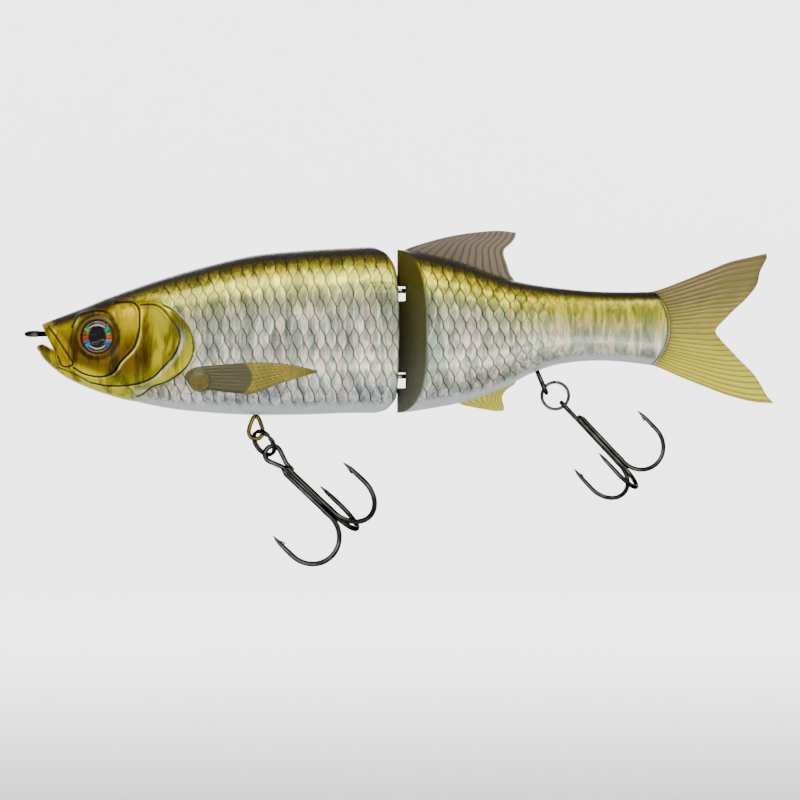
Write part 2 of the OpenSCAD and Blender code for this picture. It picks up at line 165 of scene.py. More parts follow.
def makePiece(bm, name, body, material, nodes=(), place=None):
    if place is not None:
        bmesh.ops.transform(bm, matrix=place, verts=bm.verts)
    bmesh.ops.scale(bm, vec=(mm,) * 3, verts=bm.verts)
    return finishPiece(meshFrom(bm, name), name, body, material, nodes)


def finishPiece(mesh, name, body, material, nodes=()):
    for polygon in mesh.polygons:
        polygon.use_smooth = True
    piece = bpy.data.objects.new(name, mesh)
    bpy.context.scene.collection.objects.link(piece)
    mesh.materials.append(material)
    if body:
        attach(piece, body)
    if nodes:
        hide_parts(*nodes)
    return piece


def drawWire(bm, path, radii, sides=16, closed=False, flatten=1.0):
    # rings extruded along a path; flatten is the wire's size along its first side direction
    points = [Vector(p) for p in path]
    count = len(points)
    radii = [radii] * count if isinstance(radii, (int, float)) else radii
    if closed:
        ways = [(points[(i + 1) % count] - points[i - 1]).normalized() for i in range(count)]
    else:
        ways = [(points[min(i + 1, count - 1)] - points[max(i - 1, 0)]).normalized() for i in range(count)]
    side = ways[0].orthogonal().normalized()
    if abs(ways[0].y) < 0.9:
        side = (Vector((0, 1, 0)) - ways[0] * ways[0].y).normalized()
    places = []
    for point, way, radius in zip(points, ways, radii):
        side = (side - way * side.dot(way)).normalized()
        up = way.cross(side)
        matrix = Matrix((side * radius * flatten, up * radius, way)).transposed().to_4x4()
        matrix.translation = point
        places.append(matrix)
    ring = bmesh.ops.create_circle(bm, cap_ends=not closed, radius=1, segments=sides)["verts"]
    firstEdges = list({edge for vert in ring for edge in vert.link_edges})
    bmesh.ops.transform(bm, matrix=places[0], verts=ring)
    edges = firstEdges
    for last, matrix in zip(places[:-1], places[1:]):
        verts, edges = growEdges(bm, edges)
        bmesh.ops.transform(bm, matrix=matrix @ last.inverted(), verts=verts)
    if closed:
        bmesh.ops.bridge_loops(bm, edges=firstEdges + edges)
    else:
        bmesh.ops.edgeloop_fill(bm, edges=edges)


def turnProfile(bm, profile, steps=64):
    # turns an open outline of (radius, height) points about Z
    verts = [bm.verts.new((r, 0, h)) for r, h in profile]
    edges = [bm.edges.new(pair) for pair in zip(verts[:-1], verts[1:])]
    bmesh.ops.spin(bm, geom=verts + edges, cent=(0, 0, 0), axis=(0, 0, 1), angle=2 * math.pi,
                   steps=steps, use_merge=True)
    bmesh.ops.remove_doubles(bm, verts=bm.verts, dist=0.0005)


def arcPoints(centre, radius, start, end, count):
    turns = np.radians(np.linspace(start, end, count + 1))
    return [(centre[0] + radius * math.cos(t), centre[1] + radius * math.sin(t)) for t in turns]


# ---- shader helpers ----

def add(tree, kind, values=None, **settings):
    made = tree.nodes.new("ShaderNode" + kind)
    for key, value in settings.items():
        setattr(made, key, value)
    for key, value in (values or {}).items():
        if isinstance(value, bpy.types.NodeSocket):
            tree.links.new(value, made.inputs[key])
        else:
            made.inputs[key].default_value = value
    return made


def calc(tree, operation, a, b=0.0, c=0.0, clamp=False):
    return add(tree, "Math", {0: a, 1: b, 2: c}, operation=operation, use_clamp=clamp).outputs[0]


def mixColour(tree, factor, a, b, kind="MIX"):
    return add(tree, "Mix", {0: factor, 6: a, 7: b}, data_type="RGBA", blend_type=kind).outputs[2]


def dimBy(tree, colour, value):
    # multiplies a colour by one number
    grey = add(tree, "CombineXYZ", {0: value, 1: value, 2: value}).outputs[0]
    return mixColour(tree, 1.0, colour, grey, "MULTIPLY")


def rescale(tree, value, low, high, toLow=0.0, toHigh=1.0):
    return add(tree, "MapRange", {0: value, 1: low, 2: high, 3: toLow, 4: toHigh},
               interpolation_type="SMOOTHSTEP").outputs[0]


def rampOf(tree, factor, stops):
    ramp = add(tree, "ValToRGB", {0: factor})
    elements = ramp.color_ramp.elements
    while len(elements) < len(stops):
        elements.new(0.5)
    for element, (place, colour) in zip(elements, stops):
        element.position = place
        element.color = colour
    return ramp.outputs[0]


vivid = 1.35


def toLinear(colours):
    # 0 to 255 colours in linear light, pushed away from grey because the film softens them
    share = np.clip(np.asarray(colours, float) / 255, 0, 1)
    light = np.where(share > 0.04, ((share + 0.055) / 1.055) ** 2.4, share / 12.92)
    grey = light @ np.array([0.25, 0.65, 0.10])
    pushed = grey[..., None] + (light - grey[..., None]) * vivid
    return np.maximum(pushed, light * 0.12)


def linear(red, green, blue):
    return tuple(float(c) for c in toLinear([red, green, blue])) + (1.0,)


def newGroup(name, inputs, outputs):
    tree = bpy.data.node_groups.new(name, "ShaderNodeTree")
    for label, kind, value in inputs:
        socket = tree.interface.new_socket(label, in_out="INPUT", socket_type="NodeSocket" + kind)
        if value is not None:
            socket.default_value = value
    for label, kind in outputs:
        tree.interface.new_socket(label, in_out="OUTPUT", socket_type="NodeSocket" + kind)
    return tree, tree.nodes.new("NodeGroupInput"), tree.nodes.new("NodeGroupOutput")


def useGroup(tree, group, values=None):
    made = tree.nodes.new("ShaderNodeGroup")
    made.node_tree = group
    for key, value in (values or {}).items():
        if isinstance(value, bpy.types.NodeSocket):
            tree.links.new(value, made.inputs[key])
        else:
            made.inputs[key].default_value = value
    return made


def newMaterial(name):
    material = bpy.data.materials.new(name)
    material.use_nodes = True
    tree = material.node_tree
    shader = tree.nodes["Principled BSDF"]
    return material, tree, shader


def setShader(tree, shader, values):
    for key, value in values.items():
        if isinstance(value, bpy.types.NodeSocket):
            tree.links.new(value, shader.inputs[key])
        else:
            shader.inputs[key].default_value = value


# ---- shader groups ----

scales = {"pitch": 2.67, "row": 3.36, "straight": 0.13, "lift": 0.09}


def makeScaleNet():
    # UV x counts scales along the body and UV y counts rows down it
    tree, given, result = newGroup("scaleNet", [("UV", "Vector", None), ("Width", "Float", 0.045)],
                                   [("Lines", "Float"), ("Cell", "Float"), ("Rise", "Float")])
    parts = add(tree, "SeparateXYZ", {0: given.outputs["UV"]})
    u, v = parts.outputs[0], parts.outputs[1]
    row = calc(tree, "FLOOR", v)
    down = calc(tree, "FRACT", v)
    odd = calc(tree, "PINGPONG", row, 1.0)
    offset = calc(tree, "MULTIPLY", odd, 0.5)
    nextOffset = calc(tree, "SUBTRACT", 0.5, offset)

    def bend(value):
        span = 1 - 2 * scales["straight"]
        part = calc(tree, "MULTIPLY_ADD", value, 1 / span, -scales["straight"] / span, clamp=True)
        return calc(tree, "POWER", part, 1.5)

    first = calc(tree, "MULTIPLY_ADD", bend(down), 0.5, calc(tree, "SUBTRACT", u, offset))
    second = calc(tree, "MULTIPLY_ADD", bend(calc(tree, "SUBTRACT", 1.0, down)), 0.5,
                  calc(tree, "SUBTRACT", u, nextOffset))
    a, b = calc(tree, "FRACT", first), calc(tree, "FRACT", second)

    def nearLine(value, weight):
        away = calc(tree, "PINGPONG", value, 0.5)
        wide = calc(tree, "MULTIPLY", given.outputs["Width"], weight)
        return add(tree, "MapRange", {0: away, 1: 0.0, 2: wide, 3: 1.0, 4: 0.0},
                   interpolation_type="SMOOTHSTEP").outputs[0]

    # where both arcs run together, the nearer row decides
    nearer = calc(tree, "MULTIPLY_ADD", calc(tree, "SUBTRACT", down, 0.5), 0.01, b)
    upper = calc(tree, "LESS_THAN", nearer, a)
    lines = calc(tree, "MAXIMUM", calc(tree, "MULTIPLY", nearLine(a, 1.0), 0.75), nearLine(b, 1.5))
    column = calc(tree, "FLOOR", add(tree, "Mix", {0: upper, 2: second, 3: first}).outputs[0])
    rowOf = calc(tree, "SUBTRACT", calc(tree, "ADD", row, 1.0), upper)
    cell = add(tree, "CombineXYZ", {0: column, 1: rowOf})
    noise = add(tree, "TexWhiteNoise", {0: cell.outputs[0]}, noise_dimensions="3D")
    tree.links.new(lines, result.inputs["Lines"])
    tree.links.new(noise.outputs["Value"], result.inputs["Cell"])
    tree.links.new(calc(tree, "SMOOTH_MIN", a, b, 0.4), result.inputs["Rise"])
    return tree


def makeFoilGrain():
    # crinkled holographic foil: upright streaks that shift between silver, rose, green and grey; the
    # near-white and pale rose stops are painted glints of light on the crinkles
    tree, given, result = newGroup("foilGrain", [("Vector", "Vector", None)],
                                   [("Tint", "Color"), ("Crinkle", "Float"), ("Streak", "Float")])
    coarse = add(tree, "Mapping", {0: given.outputs["Vector"], 3: (300, 300, 62)})
    fine = add(tree, "Mapping", {0: given.outputs["Vector"], 3: (1300, 1300, 200)})
    big = add(tree, "TexNoise", {"Vector": coarse.outputs[0], "Scale": 1.0, "Detail": 3.0,
                                 "Roughness": 0.55, "Distortion": 0.6})
    small = add(tree, "TexNoise", {"Vector": fine.outputs[0], "Scale": 1.0, "Detail": 2.0,
                                   "Roughness": 0.6, "Distortion": 0.4})
    hue = rampOf(tree, big.outputs[0], [(0.28, linear(158, 163, 162)), (0.38, linear(174, 179, 176)),
                                        (0.47, linear(196, 199, 194)), (0.505, linear(255, 232, 232)),
                                        (0.55, linear(255, 255, 248)), (0.58, linear(200, 208, 200)),
                                        (0.66, linear(176, 182, 180)), (0.76, linear(190, 214, 206))])
    dark = rampOf(tree, small.outputs[0], [(0.30, (0.80, 0.81, 0.79, 1)), (0.5, (0.98, 0.98, 0.98, 1)),
                                           (0.66, (1.15, 1.15, 1.15, 1))])
    tree.links.new(rescale(tree, big.outputs[0], 0.36, 0.64, 0.5, 1.45), result.inputs["Streak"])
    tree.links.new(mixColour(tree, 1.0, hue, dark, "MULTIPLY"), result.inputs["Tint"])
    tree.links.new(calc(tree, "ADD", big.outputs[0], small.outputs[0]), result.inputs["Crinkle"])
    return tree


def makeWear():
    # fine handling marks for plated wire: colour drift, rubbed spots and a slightly uneven gloss
    tree, given, result = newGroup("handlingWear", [("Vector", "Vector", None), ("Base", "Color", None),
                                                    ("Rubbed", "Color", None)],
                                   [("Colour", "Color"), ("Roughness", "Float"), ("Height", "Float")])
    cloud = add(tree, "TexNoise", {"Vector": given.outputs["Vector"], "Scale": 300.0, "Detail": 2.0})
    speck = add(tree, "TexNoise", {"Vector": given.outputs["Vector"], "Scale": 2600.0, "Detail": 2.0})
    rub = calc(tree, "MULTIPLY", rescale(tree, cloud.outputs[0], 0.4, 0.75), 0.6)
    colour = mixColour(tree, rub, given.outputs["Base"], given.outputs["Rubbed"])
    tree.links.new(colour, result.inputs["Colour"])
    tree.links.new(rescale(tree, speck.outputs[0], 0.3, 0.7, 0.12, 0.22), result.inputs["Roughness"])
    tree.links.new(speck.outputs[0], result.inputs["Height"])
    return tree


def makeFinRays():
    # UV x runs from the fin's root to its edge and UV y across its rays
    tree, given, result = newGroup("finRays", [("UV", "Vector", None), ("Rays", "Float", 20.0)],
                                   [("Ridge", "Float"), ("Joint", "Float"), ("Along", "Float"),
                                    ("Across", "Float"), ("Cloud", "Float")])
    parts = add(tree, "SeparateXYZ", {0: given.outputs["UV"]})
    phase = calc(tree, "MULTIPLY", parts.outputs[1], given.outputs["Rays"])
    ridge = calc(tree, "PINGPONG", phase, 0.5)
    cut = calc(tree, "FRACT", calc(tree, "MULTIPLY_ADD", parts.outputs[0], 26.0,
                                   calc(tree, "MULTIPLY", calc(tree, "FLOOR", phase), 0.37)))
    cloud = add(tree, "TexNoise", {"Vector": given.outputs["UV"], "Scale": 9.0, "Detail": 3.0})
    tree.links.new(calc(tree, "MULTIPLY", ridge, 2.0), result.inputs["Ridge"])
    tree.links.new(calc(tree, "GREATER_THAN", cut, 0.55), result.inputs["Joint"])
    tree.links.new(parts.outputs[0], result.inputs["Along"])
    tree.links.new(parts.outputs[1], result.inputs["Across"])
    tree.links.new(cloud.outputs[0], result.inputs["Cloud"])
    return tree


scaleNet = makeScaleNet()
foilGrain = makeFoilGrain()
handlingWear = makeWear()
finRays = makeFinRays()
print("shader groups made")


# ---- body ----

body = {
    "back": [[0.9, 1.6], [2, 2.4], [6.2, 4.1], [12, 6.3], [17.8, 8.7], [29.4, 12.8], [41, 16.2],
             [52.6, 18.9], [64.2, 20.1], [75.9, 20.8], [82, 21], [87.7, 20.4], [92.7, 19.8],
             [96.6, 19], [103, 17.4], [109.5, 15], [116, 12.9], [122.3, 11.7], [133.9, 10.4],
             [145.6, 10.1], [154, 10.2]],
    "belly": [[0.9, -3.9], [2.5, -6.3], [6.2, -9.5], [9.1, -11.3], [14.9, -13.8], [20.7, -15.5],
              [32.3, -18], [43.9, -19.2], [52.6, -19.6], [64.2, -19.6], [75.9, -19.2], [88.5, -19.1],
              [95.2, -18.2], [102.7, -16.8], [109.5, -14.8], [114.5, -12.7], [119.4, -10],
              [125.2, -7.8], [131, -6.8], [136.9, -6.5], [142.7, -6.8], [154, -8.2]],
    "halfWidth": [[0.9, 0.14], [3, 0.27], [6, 0.385], [12, 0.55], [20, 0.7], [30, 0.85], [40, 0.935],
                  [52, 0.985], [65, 1], [80, 0.965], [88.5, 0.93], [96, 0.88], [105, 0.79],
                  [115, 0.65], [125, 0.51], [135, 0.41], [145, 0.34], [154, 0.29]],
    "width": 2 * boxOf("front_shell_right")[1][1],
    "backPower": 2.8, "bellyPower": 3.6, "sidePower": 2.2,
    "frontCells": (330, 256), "rearCells": (260, 170), "capRings": 10,
    "frontColumns": [[0, 0], [0.36, 0.2], [0.72, 0.46], [1, 1]],
    "hingeX": jointAt("body_hinge")[0], "groove": 4.3, "hollow": 1.1,
    "apexX": boxOf("rear_shell_right")[0][0], "apexFlat": 0.15, "bevel": 36.0,
    "slots": [(7.9, 11.5), (-13.1, -9.4)], "slotHalf": 2.9,
    # where the front section ends, from the belly to the back
    "frontEnd": [[-19.3, 82], [-18.5, 84.8], [-18, 85.5], [-16.5, 86.9], [-15.2, 87.6], [-12.2, 88],
                 [-6.7, 88.4], [0, 88.5], [7.3, 88.4], [12.4, 88], [15.9, 87.3], [18, 86.2],
                 [19.6, 84.8], [21.1, 81.7]],
    "rearEnd": (141.6, 1.4, 12.3),
    "mouth": [[1.6, 6], [2, 2.2], [5.4, -4.2], [2.1, -2.5], [0.9, -2.9], [-5, -2.9], [-5, 6]],
}

# lines moulded in the head, as [x, z] points from top to bottom
head = {
    "cheek": [[19.2, 7.4], [23.6, 7.7], [25.2, 6.3], [25.5, 4.1], [25.3, 0.5], [24, -3.3], [20.9, -6.7],
              [19.2, -9.2], [16.2, -10.4], [12, -9.7], [9.5, -8.2]],
    "cover": [[25.8, 7], [29.2, 7], [31.3, 5.7], [33.5, 2.9], [35.1, 0.7], [35.1, -2], [33.8, -5.1],
              [31.3, -7.9], [28.6, -10.6], [24.3, -12.2], [18, -12.6], [13.7, -11.8]],
    "gill": [[31.3, 7], [33.5, 5.8], [36.3, 3.1], [38.1, -0.2], [38.6, -3.3], [37.9, -6.3], [35.7, -9.2],
             [32, -11.6], [28.6, -12.8], [26.1, -14.7], [24.8, -15.2]],
    "lip": [[3.4, 1.7], [5.1, -0.6], [7.3, -3.9], [8.9, -6.3], [9.3, -7.3], [7.9, -8], [6.5, -7.5],
            [5.7, -5.4]],
    "brow": [[9.2, 1.7], [10.7, 4.2], [13.5, 5.3], [16.2, 5.5], [18.1, 4.8], [19, 3.7]],
    "jaw": [[5.8, -8.1], [9.5, -9.6], [13.7, -11.8]],
    "nostril": (5.3, 2.4),
    "eye": middleOf("eye_disc_left"), "eyeRadius": 4.3,
}
gillX = sorted([[z, x] for x, z in head["gill"]] + [[10, 29.5], [14, 31], [-17.5, 24]])
# each moulded line: how far it swells, from how far away to where, then how deep and how wide its furrow is
headRelief = [("cover", 0.16, 1.1, 0.3, 0.34, 0.34), ("cheek", 0.18, 1.2, 0.3, 0.38, 0.34),
              ("lip", 0.10, 0.9, 0.3, 0.30, 0.36), ("jaw", 0, 1, 0.3, 0.14, 0.4),
              ("brow", 0.24, 0.8, 0, 0, 0.4)]


def heights(x):
    return curveThrough(body["back"], x), curveThrough(body["belly"], x)


def skinPoint(x, turn):
    top, low = heights(x)
    half = curveThrough(body["halfWidth"], x) * body["width"] / 2
    sine = np.sin(np.radians(turn))
    s = np.sign(sine) * np.abs(sine) ** 0.8
    power = np.where(s > 0, body["backPower"], body["bellyPower"])
    y = half * np.maximum(1 - np.abs(s) ** power, 0) ** (1 / body["sidePower"])
    return y, (top + low) / 2 + (top - low) / 2 * s


def frontEndX(z):
    return curveThrough(body["frontEnd"], np.clip(z, -19.3, 21.1))


def rearEndX(z):
    x, zMid, radius = body["rearEnd"]
    return x + np.sqrt(np.maximum(radius**2 - (z - zMid) ** 2, 60))


def bevelX(y):
    return body["apexX"] + math.tan(math.radians(body["bevel"])) * np.maximum(y - body["apexFlat"], 0)


def scaleCount(x, z):
    # how many scales along and rows down; the rows bend with the back and a little with the belly
    top, low = heights(x)
    s = (2 * z - top - low) / (top - low)
    upper = np.clip(s, 0, 1) ** 1.6 * (top - 19)
    lower = np.clip(-s, 0, 1) ** 2 * (low + 18.5)
    return x / scales["pitch"], (22 - (z - upper - lower)) / scales["row"]


def scaleRise(x, z):
    u, v = scaleCount(x, z)
    row, t = np.floor(v), v - np.floor(v)
    offset = (row % 2) * 0.5
    span = 1 - 2 * scales["straight"]

    def bend(value):
        return np.clip((value - scales["straight"]) / span, 0, 1) ** 1.5

    a = (u - offset + 0.5 * bend(t)) % 1
    b = (u - (0.5 - offset) + 0.5 * bend(1 - t)) % 1
    return np.minimum(a, b)


def scaleZone(x, z):
    # 1 where scales show: behind the gill cover, between the dark back and the plain belly
    top, low = heights(x)
    size = np.clip((top - low) / 40, 0.4, 1)
    seenX, seenZ = asDrawn(x, z)
    behind = smooth(0.2, 1.0, seenX - curveThrough(gillX, np.clip(seenZ, -17.5, 14)))
    return (behind * smooth(1.2, 2.6, (top - z) / size**0.5) * smooth(1.6, 3.4, (z - low) / size)
            * (1 - 0.85 * smooth(114, 130, x)) * smooth(0, 0.6, 149.5 - x))


def asDrawn(x, z):
    # where a point of the skin shows in the side view, from the camera's distance
    y, _ = skinHere(x, z)
    near = 1 + y / sideView["away"]
    return sideView["x"] + (x - sideView["x"]) * near, sideView["z"] + (z - sideView["z"]) * near


def reliefAt(x, z):
    relief = scales["lift"] * (scaleRise(x, z) - 0.4) * scaleZone(x, z) * (x > 80)
    eyeAway = np.hypot(x - head["eye"][0], z - head["eye"][2])
    x, z = asDrawn(x, z)
    behindGill = x - curveThrough(gillX, np.clip(z, -17.5, 14))
    onPlate = smooth(9, 0.4, -behindGill) * smooth(0.3, -0.1, behindGill)
    relief += 0.32 * onPlate * smooth(8.5, 6, np.abs(z + 4) - 4.5)
    for name, swell, outer, inner, cut, wide in headRelief:
        away = lineDistance(head[name], x, z)
        relief += swell * smooth(outer, inner, away) - cut * smooth(wide, 0.05, away)
    relief -= 0.3 * smooth(0.7, 0.1, np.hypot(x - head["nostril"][0], (z - head["nostril"][1]) * 1.5))
    relief += 0.25 * smooth(2.0, 0, np.abs(eyeAway - head["eyeRadius"] - 0.5))
    relief -= 2.3 * smooth(head["eyeRadius"] + 0.15, head["eyeRadius"] - 0.25, eyeAway)
    return relief


def shapeHalf(name, cells, startX, endX, capStart, capEnd):
    # one side of a section: a grid wrapped on the body, with its end faces drawn in to the seam
    mesh, st = gridMesh(name, cells[0], cells[1])
    turn = 90 * (2 * st[:, 1] - 1)
    low, high = np.full(len(turn), 60.0), np.full(len(turn), 100.0)
    for _ in range(14):
        low = startX(*skinPoint(low, turn))
        high = endX(*skinPoint(high, turn))
    columns = curveThrough(body["frontColumns"], st[:, 0]) if name == "front" else st[:, 0]
    x = low + (high - low) * columns
    y, z = skinPoint(x, turn)
    step = 0.02
    yX, zX = skinPoint(x + step, turn)
    yT, zT = skinPoint(x, np.clip(turn + 0.05, -90, 90))
    yB, zB = skinPoint(x, np.clip(turn - 0.05, -90, 90))
    alongX = np.stack([np.full(len(x), step), yX - y, zX - z], 1)
    around = np.stack([np.zeros(len(x)), yT - yB, zT - zB], 1)
    normal = np.cross(around, alongX)
    normal /= np.maximum(np.linalg.norm(normal, axis=1), 1e-9)[:, None]
    normal *= np.sign(normal[:, 1] + 1e-9)[:, None]
    fade = smooth(0, 0.02, st[:, 1]) * smooth(1, 0.98, st[:, 1])
    fade = fade * smooth(0, 0.01, st[:, 0]) * smooth(1, 0.99, st[:, 0])
    place = np.stack([x, y, z], 1) + normal * (reliefAt(x, z) * fade)[:, None]
    edge = (st[:, 1] < 1e-6) | (st[:, 1] > 1 - 1e-6)
    place[edge, 1] = 0
    placeCoords(mesh, place)
    bm = bmesh.new()
    bm.from_mesh(mesh)
    ends = {"start": st[:, 0] < 1e-6, "end": st[:, 0] > 1 - 1e-6}
    bm.verts.ensure_lookup_table()
    for which, cap in (("start", capStart), ("end", capEnd)):
        rim = {bm.verts[i] for i in np.nonzero(ends[which])[0]}
        edges = [e for e in bm.edges if e.is_boundary and e.verts[0] in rim and e.verts[1] in rim]
        rimY = {}
        for ring in range(1, body["capRings"] + 1):
            verts, edges = growEdges(bm, edges)
            share = 1 - (ring / body["capRings"])
            for vert in verts:
                key = round(vert.co.z, 5)
                if ring == 1:
                    rimY[key] = (vert.co.x, vert.co.y)
                rimX, wide = rimY.get(key, (vert.co.x, vert.co.y))
                vert.co.y = wide * share
                vert.co.x = cap(rimX, vert.co.y, vert.co.z, share)
        bm.verts.ensure_lookup_table()
    bmesh.ops.remove_doubles(bm, verts=bm.verts, dist=0.002)
    seam = [e for e in bm.edges if e.is_boundary]
    bmesh.ops.holes_fill(bm, edges=seam, sides=0)
    bmesh.ops.recalc_face_normals(bm, faces=bm.faces)
    bm.to_mesh(mesh)
    bm.free()
    return mesh


def frontCap(rimX, y, z, share):
    x = min(rimX + 0.35 * (1 - share**6), 88.5 - body["hollow"] + 0.093 * y)
    if abs(y) < body["groove"]:
        x = min(x, body["hingeX"] - math.sqrt(body["groove"] ** 2 - y * y))
    return x


def noseCap(rimX, y, z, share):
    return rimX - 0.25 * (1 - share**2)


def bevelCap(rimX, y, z, share):
    return float(bevelX(y))


def tailCap(rimX, y, z, share):
    return rimX + 0.5 * (1 - share**4)


def carve(mesh, cutter):
    # takes the cutter out of the mesh and gives back a new mesh
    target = bpy.data.objects.new("target", mesh)
    tool = bpy.data.objects.new("tool", cutter)
    for part in (target, tool):
        bpy.context.scene.collection.objects.link(part)
    cut = target.modifiers.new("cut", "BOOLEAN")
    cut.operation = "DIFFERENCE"
    cut.solver = "EXACT"
    cut.object = tool
    bpy.context.view_layer.update()
    shaped = bpy.data.meshes.new_from_object(target.evaluated_get(bpy.context.evaluated_depsgraph_get()))
    for part in (target, tool):
        bpy.data.objects.remove(part)
    return shaped


def plateCutter(outline, reach):
    bm = bmesh.new()
    raiseFace(bm, [(x, -reach, z) for x, z in outline], (0, 2 * reach, 0))
    return meshFrom(bm, "mouthCutter")


def slotCutter():
    bm = bmesh.new()
    half, mouthX = body["slotHalf"], body["apexX"] - 3
    plan = [(mouthX, -half)] + arcPoints((body["hingeX"], 0), half, -90, 90, 16) + [(mouthX, half)]
    for low, high in body["slots"]:
        raiseFace(bm, [(x, y, low) for x, y in plan], (0, 0, high - low))
    return meshFrom(bm, "slotCutter")


# ---- paint on the body, with painted light in it: colours by height below the back, then the head ----

paint = {
    # [millimetres below the back, red, green, blue] for the body and the head
    # flank: the faint lighter edge right on the back is a painted sheen, the gold band is brightest from 5.8
    # to 10.5 mm where the gold paint carries a painted reflection of light from above, the brightest row at
    # 34 mm is a painted reflection of light from below, and the darker row at 40 mm is painted shade under
    # the belly
    "flank": [[0, 46, 42, 34], [0.9, 32, 28, 18], [1.8, 36, 31, 16], [2.5, 88, 80, 42], [4, 192, 182, 104],
              [5.8, 228, 220, 124], [8, 240, 236, 142], [10.5, 240, 238, 176], [13.5, 232, 230, 200],
              [18, 226, 225, 212], [30, 222, 223, 212], [34, 226, 230, 230], [40, 196, 202, 204]],
    # head: the faint lighter edge right on the back is a painted sheen and the bright row at 5.5 mm is a
    # painted highlight
    "head": [[0, 46, 42, 32], [1, 32, 27, 14], [2.2, 44, 36, 10], [3.8, 122, 106, 14], [5.5, 150, 134, 10],
             [8, 134, 118, 8], [11, 106, 88, 6], [16, 98, 80, 4], [20, 98, 84, 8],
             [24, 150, 146, 80], [30, 180, 186, 172]],
    "yellow": (190, 170, 6), "plate": (178, 170, 92), "silver": (150, 153, 152), "lip": (170, 150, 8),
    "throat": (200, 190, 26), "belly": (204, 210, 211), "peduncle": (206, 200, 112), "ink": (14, 11, 4),
    "pale": (206, 204, 150), "bare": [(88, 80, 34), (84, 82, 60), (106, 108, 98)],
    # where the hook hangers leave the belly: x, and the height below which their dark ring shows
    "hangers": [(53.6, -18), (121.8, -7)],
}


